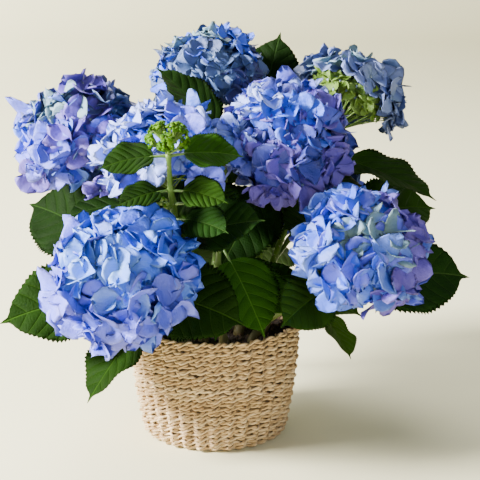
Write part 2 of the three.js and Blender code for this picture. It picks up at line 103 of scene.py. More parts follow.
def smooth(bm, name):
    """A shape made a mesh with smooth faces."""
    made = bpy.data.meshes.new(name)
    bm.to_mesh(made)
    bm.free()
    made.shade_smooth()
    return made


SWEEP = Values(half=6.0, turn=3.7, radius=1.2)
bm = bmesh.new()
bmesh.ops.create_grid(bm, x_segments=1, y_segments=120, size=SWEEP.half)
for v in bm.verts:
    past = v.co.y - SWEEP.turn
    angle = min(max(past / SWEEP.radius, 0), math.pi / 2)
    if past > 0:
        v.co.y = SWEEP.turn + SWEEP.radius * math.sin(angle)
        v.co.z = SWEEP.radius * (1 - math.cos(angle)) + max(past - SWEEP.radius * math.pi / 2, 0)
sweep = bpy.data.objects.new("sweep", smooth(bm, "sweep"))
sweep.data.materials.append(plain("pale_paper", (0.80, 0.77, 0.50), 0.7))
bpy.context.collection.objects.link(sweep)

# ---------- Basket ----------
# Rows of two-strand twisted straw and paper rope, laid one on another and pushed out over upright stakes,
# with a liner behind them and a coiled floor. The wall rises from a rounded foot to a slightly wider rim.
BASKET = Values(shoulder=86, foot=76, round=14, belly=3, wall=6)
BASKET.height, BASKET.rim = 1000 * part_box("basket")[1].z, 1000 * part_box("basket")[1].x
ROPE = Values(strand=1.62, twist=1.45, row=5.55, lay=17, steps=372, sides=5)
STAKES = Values(count=32, push=2.6, under=0.8, inward=0.3)
# A row wavers and its twist tightens in places, but the lowest lie level. Its fibres aren't the next row's.
WAVER = Values(slow=0.35, quick=0.4, level=20, twist=0.9, fibre=20, next_row=3.7)
CLOSE = 1e-3


def wall_radius(z):
    """The wall's outer radius at a height."""
    z = np.asarray(z, float)
    turn = np.arccos(1 - np.clip(z / BASKET.round, 0, 1))
    low = BASKET.foot + (BASKET.shoulder - BASKET.foot) * np.sin(turn)
    share = (z - BASKET.round) / (BASKET.height - BASKET.round)
    high = BASKET.shoulder + (BASKET.rim - BASKET.shoulder) * share
    high = high + BASKET.belly * np.sin(np.pi * share)
    return np.where(z <= BASKET.round, low, high)


def spin(bm, steps):
    """An outline turned once round the upright axis, closed, with its faces outwards."""
    bmesh.ops.spin(
        bm, geom=bm.verts[:] + bm.edges[:], axis=(0, 0, 1), angle=2 * math.pi, steps=steps, use_merge=True
    )
    bmesh.ops.remove_doubles(bm, verts=bm.verts, dist=CLOSE)
    bmesh.ops.recalc_face_normals(bm, faces=bm.faces)


def turned(name, line, steps, level=lambda point: point.z):
    """A closed mesh turned from half its outline in millimetres. level says how high each point comes."""
    bm = bmesh.new()
    chain = [bm.verts.new((r, 0, z)) for r, z in line]
    for a, b in zip(chain, chain[1:]):
        bm.edges.new((a, b))
    spin(bm, steps)
    for v in bm.verts:
        v.co.z = level(v.co)
    bmesh.ops.scale(bm, verts=bm.verts, vec=(MM, MM, MM))
    return smooth(bm, name)


def shape_of(bm):
    """A small shape as arrays: its points, each face's corners run together, and how many each face has."""
    bm.verts.index_update()
    points = np.array([v.co[:] for v in bm.verts])
    corners = np.array([v.index for f in bm.faces for v in f.verts])
    totals = np.array([len(f.verts) for f in bm.faces])
    bm.free()
    return Values(points=points, corners=corners, totals=totals)


def joined(name, shape, places, uv=None, tints=None):
    """One smooth mesh of many copies of a shape. places holds each copy's points in millimetres, and tints
    the number of each copy's material, or of each face's."""
    copies, count = places.shape[:2]
    corners = (shape.corners + count * np.arange(copies)[:, None]).ravel()
    totals = np.tile(shape.totals, copies)
    mesh = bpy.data.meshes.new(name)
    mesh.vertices.add(copies * count)
    mesh.vertices.foreach_set("co", (places * MM).astype(np.float32).ravel())
    mesh.loops.add(len(corners))
    mesh.loops.foreach_set("vertex_index", corners.astype(np.int32))
    mesh.polygons.add(len(totals))
    mesh.polygons.foreach_set("loop_start", (np.cumsum(totals) - totals).astype(np.int32))
    if tints is not None:
        index = np.repeat(tints, len(shape.totals)) if np.ndim(tints) == 1 else np.asarray(tints).ravel()
        mesh.polygons.foreach_set("material_index", index.astype(np.int32))
    if uv is not None:
        layer = mesh.uv_layers.new(name="UVMap")
        spread = np.broadcast_to(uv, (copies, count, 2)).reshape(-1, 2)[corners]
        layer.uv.foreach_set("vector", spread.astype(np.float32).ravel())
    mesh.update()
    mesh.validate()
    mesh.shade_smooth()
    return mesh


def piece(mesh, materials, slot, *replaced):
    """A finished piece of the plant, with the nodes that it stands for. Its slot is not used."""
    made = bpy.data.objects.new(mesh.name, mesh)
    bpy.context.collection.objects.link(made)
    for material in materials:
        mesh.materials.append(material)
    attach(made, "root")
    if replaced:
        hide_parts(*replaced)


def link(value, socket):
    """A socket is linked and a number or plain colour is set."""
    if isinstance(value, bpy.types.NodeSocket):
        socket.id_data.links.new(value, socket)
    else:
        socket.default_value = (*value, 1) if isinstance(value, tuple) else value


def calc(operation, *values):
    """A Math node in its sockets' tree. Each value is a number or a socket."""
    tree = next(value.id_data for value in values if isinstance(value, bpy.types.NodeSocket))
    made = tree.nodes.new("ShaderNodeMath")
    made.operation = operation
    for socket, value in zip(made.inputs, values):
        link(value, socket)
    return made.outputs[0]


def clip(value, times=1.0, plus=0.0):
    """A value times a number plus a number, kept from 0 to 1."""
    made = calc("MULTIPLY_ADD", value, times, plus)
    made.node.use_clamp = True
    return made


def blend(share, first, second):
    """A colour between two, each a socket or a plain colour."""
    made = share.id_data.nodes.new("ShaderNodeMix")
    made.data_type = "RGBA"
    for socket, value in ((made.inputs[0], share), (made.inputs[6], first), (made.inputs[7], second)):
        link(value, socket)
    return made.outputs[2]


def noise(where, scale, detail=3.0, stretch=(1, 1, 1)):
    """Noise read at a vector, drawn out along its axes."""
    nodes = where.id_data.nodes
    mapping = nodes.new("ShaderNodeMapping")
    mapping.inputs["Scale"].default_value = stretch
    link(where, mapping.inputs["Vector"])
    made = nodes.new("ShaderNodeTexNoise")
    link(scale, made.inputs["Scale"])
    made.inputs["Detail"].default_value = detail
    link(mapping.outputs["Vector"], made.inputs["Vector"])
    return made.outputs["Fac"]


def coordinate(tree, kind):
    """Where the surface is read: Object or UV."""
    return tree.nodes.new("ShaderNodeTexCoord").outputs[kind]


def axes(where):
    """A vector's X, Y and Z."""
    made = where.id_data.nodes.new("ShaderNodeSeparateXYZ")
    link(where, made.inputs[0])
    return made.outputs


def effect(name, **inputs):
    """A new node group with its named inputs, a colour and a height: its tree, and its sockets by name."""
    tree = bpy.data.node_groups.new(name, "ShaderNodeTree")
    for label, value in inputs.items():
        kind = "NodeSocketColor" if isinstance(value, tuple) else "NodeSocketFloat"
        socket = tree.interface.new_socket(label, in_out="INPUT", socket_type=kind)
        socket.default_value = (*value, 1) if isinstance(value, tuple) else value
    tree.interface.new_socket("Colour", in_out="OUTPUT", socket_type="NodeSocketColor")
    tree.interface.new_socket("Height", in_out="OUTPUT", socket_type="NodeSocketFloat")
    return tree, tree.nodes.new("NodeGroupInput").outputs, tree.nodes.new("NodeGroupOutput").inputs


def finish(name, skin_of, roughness, strength, depth, gloss=0.5, **values):
    """A material that takes its colour and relief from an effect, with the material's own values."""
    made = plain(name, next(iter(values.values())), roughness)
    shader = made.node_tree.nodes["Principled BSDF"]
    shader.inputs["Specular IOR Level"].default_value = gloss
    placed = made.node_tree.nodes.new("ShaderNodeGroup")
    placed.node_tree = skin_of
    for label, value in values.items():
        link(value, placed.inputs[label])
    link(placed.outputs["Colour"], shader.inputs["Base Color"])
    relief = made.node_tree.nodes.new("ShaderNodeBump")
    relief.inputs["Strength"].default_value = strength
    relief.inputs["Distance"].default_value = depth
    link(placed.outputs["Height"], relief.inputs["Height"])
    link(relief.outputs["Normal"], shader.inputs["Normal"])
    return made


# Fibres run along the strand, and the rope's colour changes from length to length.
STRAW_FIBRE, given, out = effect("straw_fibre", Light=(0.9, 0.7, 0.4), Dark=(0.5, 0.3, 0.1))
fibre = noise(coordinate(STRAW_FIBRE, "UV"), 9.0, 4.0, (22.0, 1.0, 1.0))
patch = noise(coordinate(STRAW_FIBRE, "Object"), 46.0, 2.0)
share = clip(calc("MULTIPLY_ADD", fibre, 0.8, calc("MULTIPLY", patch, 0.5)), 1.3, -0.42)
link(blend(share, given["Dark"], given["Light"]), out["Colour"])
link(fibre, out["Height"])

STRAW = [
    finish("straw_pale", STRAW_FIBRE, 0.72, 0.7, 0.0008, Light=(0.93, 0.74, 0.47), Dark=(0.40, 0.24, 0.10)),
    finish("straw_warm", STRAW_FIBRE, 0.72, 0.7, 0.0008, Light=(0.77, 0.55, 0.29), Dark=(0.30, 0.17, 0.065)),
]

# One strand is a ring whose round section is carried along the row, its centre winding about the rope's own.
bm = bmesh.new()
bmesh.ops.create_circle(bm, segments=ROPE.sides, radius=ROPE.strand)
bmesh.ops.rotate(bm, verts=bm.verts, matrix=Matrix.Rotation(math.pi / 2, 3, "X"))
bmesh.ops.translate(bm, verts=bm.verts, vec=(BASKET.rim, 0, 0))
spin(bm, ROPE.steps)
ring = shape_of(bm)
theta = np.arctan2(ring.points[:, 1], ring.points[:, 0])
section = np.hypot(ring.points[:, 0], ring.points[:, 1]) - BASKET.rim
rise = ring.points[:, 2]

# The wall's profile is walked from the foot to the rim, and a row is laid at each step of the rope's height.
heights = np.linspace(0, BASKET.height, 600)
profile = np.stack([wall_radius(heights), heights], 1)
slope = np.gradient(profile, axis=0)
outward = np.stack([slope[:, 1], -slope[:, 0]], 1)
outward /= np.linalg.norm(outward, axis=1, keepdims=True)
thick = ROPE.strand + ROPE.twist
core = profile - thick * outward
walked = np.concatenate([[0], np.cumsum(np.linalg.norm(np.diff(core, axis=0), axis=1))])
core = core[core[:, 1] <= BASKET.height - thick]
walked = walked[: len(core)]
rows = round(walked[-1] / ROPE.row) + 1
chance = np.random.default_rng(7)
strands = []
uvs = []
for row, at in enumerate(np.linspace(0, walked[-1], rows)):
    radius, height = (np.interp(at, walked, core[:, i]) for i in (0, 1))
    turns = round(2 * math.pi * radius / ROPE.lay)
    phase = chance.uniform(0, 2 * math.pi, 4)
    rib = STAKES.push * (np.cos(STAKES.count * theta) - STAKES.inward)
    weave = STAKES.under * (-1) ** row * np.cos(STAKES.count / 2 * theta)
    waver = WAVER.slow * (np.sin(2 * theta + phase[1]) + np.sin(7 * theta + phase[2]))
    waver = waver + WAVER.quick * np.sin(23 * theta + phase[3])
    lift = min(1, at / WAVER.level)
    for strand in (0, 1):
        wind = turns * theta + math.pi * strand + phase[0] + WAVER.twist * np.sin(5 * theta + phase[3])
        reach = radius + rib + weave + ROPE.twist * np.cos(wind) + section
        up = height + lift * waver + ROPE.twist * np.sin(wind) + rise
        strands.append(np.stack([reach * np.cos(theta), reach * np.sin(theta), up], 1))
        round_it = np.arctan2(rise, section) / (2 * math.pi)
        along = theta * radius / WAVER.fibre + row * WAVER.next_row + strand
        uvs.append(np.stack([round_it, along], 1))
tints = chance.integers(0, 2, len(strands))
piece(joined("rope_rows", ring, np.array(strands), np.array(uvs), tints), STRAW, "basket", "basket")

# The liner, peat and beads are speckled: flecks of one colour on another, which also stand a little proud.
SPECKLE, given, out = effect("speckle", Light=(0.5, 0.5, 0.5), Dark=(0.1, 0.1, 0.1), Scale=300.0, Cover=0.5)
grain = noise(coordinate(SPECKLE, "Object"), given["Scale"], 4.0)
fleck = clip(calc("SUBTRACT", grain, calc("MULTIPLY_ADD", given["Cover"], -0.4, 0.6)), 3.4)
link(blend(fleck, given["Dark"], given["Light"]), out["Colour"])
link(fleck, out["Height"])

# The liner closes the gaps between the rows and is dark brown, as painted shade seen through them. The floor is
# a flat coil of the same rope.
LINER = Values(inset=5.7, wall=0.8, floor=5.0, below_rim=3.5)
COIL = Values(turns=13, deep=1.6, gap=0.4)
levels = np.linspace(LINER.floor, BASKET.height - LINER.below_rim, 24)
line = [(0, LINER.floor)] + [(float(wall_radius(z)) - LINER.inset, z) for z in levels]
line += [(r - LINER.wall, z) for r, z in line[:0:-1]] + [(0, LINER.floor + LINER.wall)]
liner_shade = finish("liner_painted_shade", SPECKLE, 0.85, 0.4, 0.0005, Light=(0.15, 0.09, 0.045), Dark=(0.07, 0.042, 0.02))
piece(turned("liner", line, 72), [liner_shade], "basket")

pitch = BASKET.foot / COIL.turns
under = np.linspace(0, BASKET.foot, 8 * COIL.turns + 1)
line = [(r, COIL.deep * (1 - abs(math.sin(math.pi * r / pitch)))) for r in under]
line += [(r, LINER.floor - COIL.gap) for r in (BASKET.foot, 0)]
coil = finish(
    "straw_floor", SPECKLE, 0.8, 0.6, 0.0008, Light=(0.74, 0.60, 0.41), Dark=(0.36, 0.25, 0.14), Scale=220.0
)
piece(turned("coil_floor", line, 90), [coil], "basket")

# ---------- Potting mix ----------
# A dark moist mix fills the basket to a little under its rim: an uneven top with a drier skin, and crumbs of
# bark and peat lying on it.
SOIL_TOP = 1000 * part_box("potting_mix")[1].z
SOIL = Values(gap=0.6, deep=26, taper=2, uneven=1.6)
SOIL_SIDE = wall_radius(SOIL_TOP) - BASKET.wall - SOIL.gap
CRUMB = Values(count=420, out=0.93, size=(0.8, 2.6), long=(0.55, 1.3), knobs=(-0.25, 0.25), up=0.3, most=0.6)


def soil_height(x, y):
    """The uneven top of the mix, in millimetres."""
    swell = np.sin(x / 9.0 + 1.3) * np.cos(y / 11.0) + 0.6 * np.sin((x + y) / 4.7) * np.cos((x - y) / 5.3)
    return SOIL_TOP - SOIL.uneven + 0.6 * SOIL.uneven * swell


def soil_level(point):
    """The top of the mix is uneven, and its side and underside are as turned."""
    return soil_height(point.x, point.y) if point.z > SOIL_TOP - 1 else point.z


line = [(r, SOIL_TOP) for r in np.linspace(0, SOIL_SIDE, 34)]
line += [(r, SOIL_TOP - SOIL.deep) for r in (SOIL_SIDE - SOIL.taper, 0)]
PEAT = [
    finish(name, SPECKLE, 0.9, 0.8, 0.0015, Light=light, Dark=dark, Scale=520.0)
    for name, light, dark in (
        ("peat_dark", (0.09, 0.055, 0.03), (0.018, 0.012, 0.008)),
        ("bark_bits", (0.17, 0.10, 0.05), (0.05, 0.03, 0.018)),
    )
]
piece(turned("soil", line, 96, soil_level), PEAT[:1], "potting_mix", "potting_mix")

bm = bmesh.new()
bmesh.ops.create_icosphere(bm, subdivisions=1, radius=1)
pebble = shape_of(bm)
count = CRUMB.count
far = SOIL_SIDE * np.sqrt(chance.uniform(0, CRUMB.out, count))
turn = chance.uniform(0, 2 * math.pi, count)
x, y = far * np.cos(turn), far * np.sin(turn)
size = chance.uniform(*CRUMB.size, (count, 1, 1)) * chance.uniform(*CRUMB.long, (count, 1, 3))
knobs = 1 + chance.uniform(*CRUMB.knobs, (count, len(pebble.points), 1))
top = np.minimum(soil_height(x, y) + CRUMB.up * size[:, 0, 2], SOIL_TOP + CRUMB.most)
places = pebble.points * size * knobs + np.stack([x, y, top], 1)[:, None]
piece(joined("crumbs", pebble, places, tints=chance.integers(0, 2, count)), PEAT, "potting_mix")

# ---------- Stems ----------
# Sixteen green canes rise from the mix, flared at the foot and swollen where leaf pairs stand, and run on
# through their leaves to the flower heads. Each is one smooth limb with low ribs and pale specks.
CANE = Values(foot=4.6, tip=3.0, flare=0.55, flare_height=9, bow=0.42, rise=0.9, lean=0.45)
KNUCKLE = Values(proud=0.9, height=3.2, spacing=38)
BARK = Values(slim=0.94, ribs=0.035, lumps=0.02)
# How far a cane stands off the mix, the share of it that has no leaves, how deep its neck is below the head's
# centre in head radii, and how far round a head its florets reach, in degrees.
GAP = 0.3
LEAFY_SHARE = 0.39
NECK = 0.76
SPREAD = 112
UP = np.array([0.0, 0.0, 1.0])
RIGHT = np.array([1.0, 0.0, 0.0])


def crossed(turn, count):
    """Pairs of leaves that stand crosswise to each other down a stem."""
    return [[(turn + 90 * i, 68, 1), (turn + 90 * i + 180, 68, 1)] for i in range(count)]


def shoot(name, foot, head, radius, faces, pairs, first=14, spread=SPREAD, side=None):
    """A shoot: its foot on the mix, its head's centre, radius and facing, and its leaf pairs from the neck
    down. A leaf is its turn about the stem, its angle from the stem, its size and its roll to the front."""
    foot, head = np.array(foot, float), np.array(head, float)
    faces = np.array(faces, float) / np.linalg.norm(faces)
    made = Values(name=name, foot=foot, head=head, radius=radius, faces=faces, pairs=pairs)
    made.first, made.spread, made.side = first, spread, side
    return made


SHOOTS = [
    shoot("side_left", (-52, -14), (-118, 10, 214), 0, (-0.4, -0.6, 0.65), [
        [(132, 64, 1.2), (316, 70, 0.8)],
        [(210, 70, 1), (50, 70, 0.9)],
    ], first=4),
    shoot("side_right", (56, -8), (150, 45, 243), 0, (0.45, -0.4, 0.7), [
        [(38, 66, 1.04), (196, 66, 0.8)],
        [(100, 70, 1), (290, 70, 0.9)],
    ], first=4),
    shoot("bud", (-12, -30), (-46, -130, 376), 26, (0, -0.35, 0.95), [
        [(184, 84, 0.56), (8, 62, 0.6)],
        [(196, 74, 0.5), (338, 78, 0.5)],
        [(275, 70, 0.6), (95, 60, 0.6)],
        [(0, 70, 0.8), (170, 70, 0.8)],
    ], first=2, side=Values(below=62, turn=215, reach=17, radius=12)),
    shoot("middle", (4, 0), (10, 36, 340), 0, (-0.05, 0, 1), [
        [(170, 2, 0.84), (10, 45, 0.7)],
        [(110, 70, 1), (270, 70, 1)],
        [(180, 70, 1), (0, 70, 1)],
    ], first=3),
    shoot("upper", (18, 44), (58, 192, 325), 0, (0.05, 0.1, 1), [
        [(5, 4, 1), (5, 40, 1)],
        [(90, 60, 1), (200, 60, 0.9)],
        [(60, 70, 1), (240, 70, 1)],
    ], first=4),
    shoot("front_left", (-34, -42), (-98, -140, 223), 77, (-0.2, -0.85, 0.45), [
        [(194, 66, 1.2), (346, 74, 1.08)],
        [(234, 76, 0.98), (60, 55, 0.8)],
        [(180, 75, 0.9), (305, 80, 0.9)],
    ]),
    shoot("front_right", (44, -34), (160, -110, 245), 71, (0.3, -0.6, 0.7), [
        [(25, 66, 1.22), (215, 66, 0.78)],
        [(342, 82, 0.7, -50), (130, 60, 0.9)],
        [(195, 75, 0.9), (20, 75, 0.9)],
    ]),
    shoot("centre_right", (28, -6), (81, 8, 345), 75, (0.1, -0.7, 0.7), [
        [(225, 70, 1.05), (320, 80, 0.8)],
        [(180, 75, 1.1), (45, 75, 1)],
        [(250, 70, 1), (320, 70, 1)],
        [(180, 70, 1), (60, 70, 0.9)],
    ]),
    shoot("centre_left", (-22, -8), (-56, -35, 334), 70, (-0.15, -0.5, 0.85), [
        [(166, 80, 0.95), (345, 70, 1)],
        [(270, 70, 0.9), (90, 66, 1)],
        [(0, 70, 1), (180, 70, 1)],
        [(300, 70, 1), (110, 70, 1)],
    ]),
    shoot("left", (-46, 16), (-162, 75, 342), 71, (-0.5, -0.4, 0.75), [
        [(95, 60, 1), (300, 75, 0.8)],
        [(185, 62, 0.9), (10, 60, 0.9)],
        [(100, 70, 1), (290, 70, 0.9)],
        [(190, 70, 1), (20, 70, 0.9)],
    ]),
    shoot("top", (-4, 22), (-8, 136, 403), 71, (-0.15, -0.1, 1), [
        [(170, 70, 1), (350, 70, 0.9)],
        [(90, 66, 1), (280, 66, 1)],
        [(200, 66, 1), (20, 66, 1)],
        [(110, 70, 1), (270, 70, 1)],
    ]),
    shoot("right", (44, 18), (161, 130, 372), 74, (0.45, 0.2, 0.85), [
        [(14, 66, 1.1, 40), (200, 70, 0.9)],
        [(100, 66, 1.05), (290, 66, 1)],
        [(10, 70, 1), (190, 70, 1)],
        [(100, 70, 1), (290, 70, 1)],
    ], spread=92),
    shoot("back_left", (-30, 44), (-72, 186, 238), 72, (-0.4, 0.7, 0.55), crossed(185, 3)),
    shoot("back_right", (32, 44), (120, 186, 236), 72, (0.4, 0.7, 0.55), crossed(355, 3)),
    shoot("front", (12, -46), (8, -60, 245), 0, (0.1, -0.8, 0.55), [
        [(294, 70, 0.88), (136, 70, 0.75)],
        [(284, 80, 0.9), (190, 80, 0.9)],
        [(270, 84, 0.9), (40, 70, 0.9)],
    ], first=4),
    shoot("back", (-6, 54), (14, 130, 252), 0, (0, 0.75, 0.65), crossed(40, 3), first=4),
]


def unit(v):
    return v / np.linalg.norm(v, axis=-1, keepdims=True)


def across(v, n):
    """The part of v at right angles to the unit vector n, made a unit vector."""
    return unit(v - (v * n).sum(-1, keepdims=True) * n)


def square_to(way):
    """Two unit vectors at right angles to a way and to each other."""
    first = across(np.where(np.abs(way[..., :1]) < 0.9, RIGHT, UP), way)
    return first, np.cross(way, first)


def bezier(ends, share):
    """Points of a cubic curve."""
    t = np.asarray(share, float)[..., None]
    a, b, c, d = ends
    return (1 - t) ** 3 * a + 3 * (1 - t) ** 2 * t * b + 3 * (1 - t) * t * t * c + t**3 * d


def frame_at(ends, share):
    """The stem's unit direction and two unit vectors across it: right as seen, and up or back as seen."""
    share = np.asarray(share, float)
    along = unit(bezier(ends, np.minimum(share + 1e-4, 1)) - bezier(ends, np.maximum(share - 1e-4, 0)))
    right = across(RIGHT, along)
    return along, right, np.cross(along, right)


def rod(sides, steps):
    """A closed rod of radius 1 from z = 0 to z = 1."""
    bm = bmesh.new()
    bmesh.ops.create_cone(bm, cap_ends=True, segments=sides, radius1=1, radius2=1, depth=1)
    bmesh.ops.translate(bm, verts=bm.verts, vec=(0, 0, 0.5))
    upright = [e for e in bm.edges if abs(e.verts[0].co.z - e.verts[1].co.z) > 0.5]
    bmesh.ops.subdivide_edges(bm, edges=upright, cuts=steps - 1, use_grid_fill=True)
    return shape_of(bm)


for index, one in enumerate(SHOOTS):
    neck = one.head - NECK * one.radius * one.faces
    foot = np.array([*one.foot, SOIL_TOP + GAP])
    reach = CANE.bow * np.linalg.norm(neck - foot)
    lean = across(neck - foot, UP)
    start = foot + reach * (CANE.rise * UP + CANE.lean * lean)
    one.ends = np.array([foot, start, neck - reach * one.faces, neck])
    walk = bezier(one.ends, np.linspace(0, 1, 201))
    one.length = np.linalg.norm(np.diff(walk, axis=0), axis=1).sum()
    one.probes = bezier(one.ends, np.linspace(0, 1, 49))
    one.seed = 101 + index

# A green cane has fine lengthwise streaks and pale corky specks, and a little brown wood near the mix.
CANE_SKIN, given, out = effect(
    "cane_skin", Light=(0.2, 0.3, 0.05), Dark=(0.1, 0.15, 0.02), Wood=(0.20, 0.13, 0.06)
)
place = coordinate(CANE_SKIN, "Object")
streak = noise(place, 60.0, 3.0, (4.0, 4.0, 0.5))
speck = clip(noise(place, 420.0, 1.0, (1.0, 1.0, 0.45)), 9.0, -5.9)
woody = calc("MULTIPLY", clip(axes(place)["Z"], -22.0, 3.65), 0.75)
body = blend(woody, blend(streak, given["Dark"], given["Light"]), given["Wood"])
link(blend(calc("MULTIPLY", speck, 0.7), body, (0.50, 0.46, 0.30)), out["Colour"])
link(calc("MULTIPLY_ADD", speck, 1.5, streak), out["Height"])


def green_bark(name, light, dark):
    """A cane's skin in one shade of green."""
    return finish(name, CANE_SKIN, 0.48, 0.5, 0.0005, Light=light, Dark=dark)


BARK_GREEN = green_bark("green_bark", (0.10, 0.20, 0.02), (0.045, 0.10, 0.008))
limb = rod(14, 90)
limb_turn = np.arctan2(limb.points[:, 1], limb.points[:, 0])
limb_out = np.hypot(limb.points[:, 0], limb.points[:, 1])
for one in SHOOTS:
    share = limb.points[:, 2]
    along, right, back = frame_at(one.ends, share)
    height = share * one.length
    girth = (CANE.foot + (CANE.tip - CANE.foot) * share) * BARK.slim
    girth = girth * (1 + CANE.flare * np.exp(-height / CANE.flare_height))
    for pair in range(len(one.pairs)):
        knuckle = one.length - one.first - KNUCKLE.spacing * pair
        girth = girth + KNUCKLE.proud * np.exp(-(((height - knuckle) / KNUCKLE.height) ** 2))
    ribs = BARK.ribs * np.cos(6 * limb_turn + 3 * share)
    girth = girth * (1 + ribs + BARK.lumps * np.sin(height / 7 + one.seed))
    x, y = limb_out * np.cos(limb_turn) * girth, limb_out * np.sin(limb_turn) * girth
    places = bezier(one.ends, share) + x[:, None] * right + y[:, None] * back
    places[share < 1e-6, 2] = SOIL_TOP - 2 * SOIL.uneven
    piece(joined("stem_" + one.name, limb, places[None]), [BARK_GREEN], "canes", "cane_" + one.name)

# ---------- Leaf places ----------
# Leaves stand in opposite pairs, the top pairs of all shoots first. Each turns, lifts or shrinks a little
# where something is in its place, and one with no room is left out, as on the solids.
LEAF = Values(length=138, width=0.62, petiole=0.2, droop=24, hangs=0.6, fold=0.16, fullest=0.72, blunt=0.8)
LOOKS = Values(along=0.6, up=0.4, outward=0.5)
VARIES = Values(turn=4, tilt=4, size=0.05)
CLEAR = Values(blade=11, head=5, stem=9.5, petiole=6.5, pot=4)
DOME = Values(top=0.8, under=0.62)
PROBE_T, PROBE_U = np.meshgrid(
    [0.03, 0.14, 0.26, 0.38, 0.5, 0.62, 0.74, 0.86, 0.94, 1],
    [-1, -0.66, -0.33, 0, 0.33, 0.66, 1],
    indexing="ij",
)
PROBE_STALK = np.array([0.03, 0.06, 0.09, 0.12, 0.15, 0.18, 0.21])


def stream(seed):
    """The solids' repeatable stream of numbers from 0 to 1."""
    state = seed
    while True:
        state = (state * 1664525 + 1013904223) & 0xFFFFFFFF
        yield state / 4294967296


def sway(numbers, reach):
    return (2 * next(numbers) - 1) * reach


def course(leaf, share):
    """A leaf's midline: it leaves the stem in one direction and bends down. Also its face and side there."""
    share = np.asarray(share, float)[..., None]
    bend = math.radians(leaf.droop)
    down = across(-UP, leaf.out)
    turned = bend * share
    along = np.cos(turned) * leaf.out + np.sin(turned) * down
    forward, drop = leaf.length * np.sin(turned) / bend, leaf.length * (1 - np.cos(turned)) / bend
    at = leaf.foot + forward * leaf.out + drop * down
    face = across(leaf.face, along)
    return at, along, face, np.cross(along, face)


def outline(t):
    """Half the blade's width at a share of the blade, as a share of its greatest."""
    return np.maximum(0, np.sin(np.pi * t ** LEAF.fullest)) ** LEAF.blunt


def blade_point(leaf, t, u):
    at, _, face, side = course(leaf, LEAF.petiole + (1 - LEAF.petiole) * t)
    half = (0.5 * LEAF.width * leaf.length * outline(t))[..., None]
    u = u[..., None]
    return at + half * u * side + half * np.abs(u) * LEAF.fold * face


def leaf_at(one, share, turn, tilt, size, roll):
    """A leaf of a shoot. Its face looks the way the stem grows, up, and out from the middle of the plant."""
    along, right, back = frame_at(one.ends, share)
    foot = bezier(one.ends, share)
    turn, tilt, roll = math.radians(turn), math.radians(tilt), math.radians(roll)
    aside = math.cos(turn) * right + math.sin(turn) * back
    out = unit(math.cos(tilt) * along + math.sin(tilt) * aside)
    outward = unit(np.array([foot[0], foot[1], 0]))
    upright = across(LOOKS.along * along + LOOKS.up * UP + LOOKS.outward * outward, out)
    front = np.cross(out, upright)
    to_front = 1 if front[1] < 0 else -1
    face = math.cos(roll) * upright + to_front * math.sin(roll) * front
    droop = LEAF.droop * (1 - LEAF.hangs * max(0, -out[2]))
    made = Values(shoot=one, foot=foot, out=out, face=face, droop=droop, length=LEAF.length * size)
    made.probes = blade_point(made, PROBE_T, PROBE_U).reshape(-1, 3)
    made.stalk = course(made, PROBE_STALK)[0]
    return made


def in_head(dome, points, margin):
    """Whether points lie in a head's dome, or within a margin of it."""
    offset = points - dome.head
    height = offset @ dome.faces
    aside = np.linalg.norm(offset - height[:, None] * dome.faces, axis=1)
    over = height > 0
    reach = np.where(over, DOME.top, DOME.under) * dome.radius + margin
    power = np.where(over, 2, 4)
    return (aside / (dome.radius + margin)) ** power + (np.abs(height) / reach) ** power < 1


def in_pot(points, margin):
    """Whether points lie in the basket or the mix, or within a margin of them."""
    aside = np.hypot(points[:, 0], points[:, 1])
    z = points[:, 2]
    off = np.abs(aside - wall_radius(np.clip(z, 0, BASKET.height)))
    wall = (z < BASKET.height + margin) & (off < BASKET.wall + margin)
    return (z < 0) | ((z < SOIL_TOP + margin) & (aside < BASKET.rim)) | wall


def near(some, others, gap):
    low, high = some.min(0) - gap, some.max(0) + gap
    others = others[((others > low) & (others < high)).all(1)]
    if not len(others):
        return False
    return (((some[:, None] - others[None]) ** 2).sum(-1) < gap * gap).any()


def has_room(leaf, placed, clear):
    """Whether a leaf stands clear of the pot, the heads, the stems and the leaves placed before it."""
    probes, own = leaf.probes, leaf.shoot
    if in_pot(probes, CLEAR.pot).any():
        return False
    if any(in_head(dome, probes, 0 if dome is own else CLEAR.head).any() for dome in DOMES):
        return False
    for one in SHOOTS:
        if near(probes, one.probes, CLEAR.stem):
            return False
        if one is not own and near(leaf.stalk, one.probes, CLEAR.petiole):
            return False
    for other in placed:
        if np.linalg.norm(leaf.foot - other.foot) > leaf.length + other.length + CLEAR.blade:
            continue
        if near(probes, other.probes, clear):
            return False
        if other.shoot is own:
            continue
        if near(leaf.stalk, other.stalk, CLEAR.petiole):
            return False
        if near(leaf.stalk, other.probes, CLEAR.stem) or near(probes, other.stalk, CLEAR.stem):
            return False
    return True


SHRINKS = 120
GIVES = [
    (size, lift, swing)
    for size in (1, 0.85, 0.7, 0.58)
    for lift in (0, -12, 12, -24, 24)
    for swing in (0, 12, -12, 24, -24, 36, -36, 48, -48)
]
GIVES.sort(key=lambda give: abs(give[1]) + abs(give[2]) + SHRINKS * (1 - give[0]))

budding = next(one for one in SHOOTS if one.side)
side = budding.side
share = 1 - side.below / budding.length
along, right, back = frame_at(budding.ends, share)
aside = math.cos(math.radians(side.turn)) * right + math.sin(math.radians(side.turn)) * back
foot = bezier(budding.ends, share)
young = Values(
    head=foot + side.reach * (aside + 0.5 * along),
    foot=foot,
    faces=unit(0.6 * aside + along),
    radius=side.radius,
    spread=SPREAD,
    seed=budding.seed + 100,
)
DOMES = [one for one in SHOOTS if one.radius] + [young]

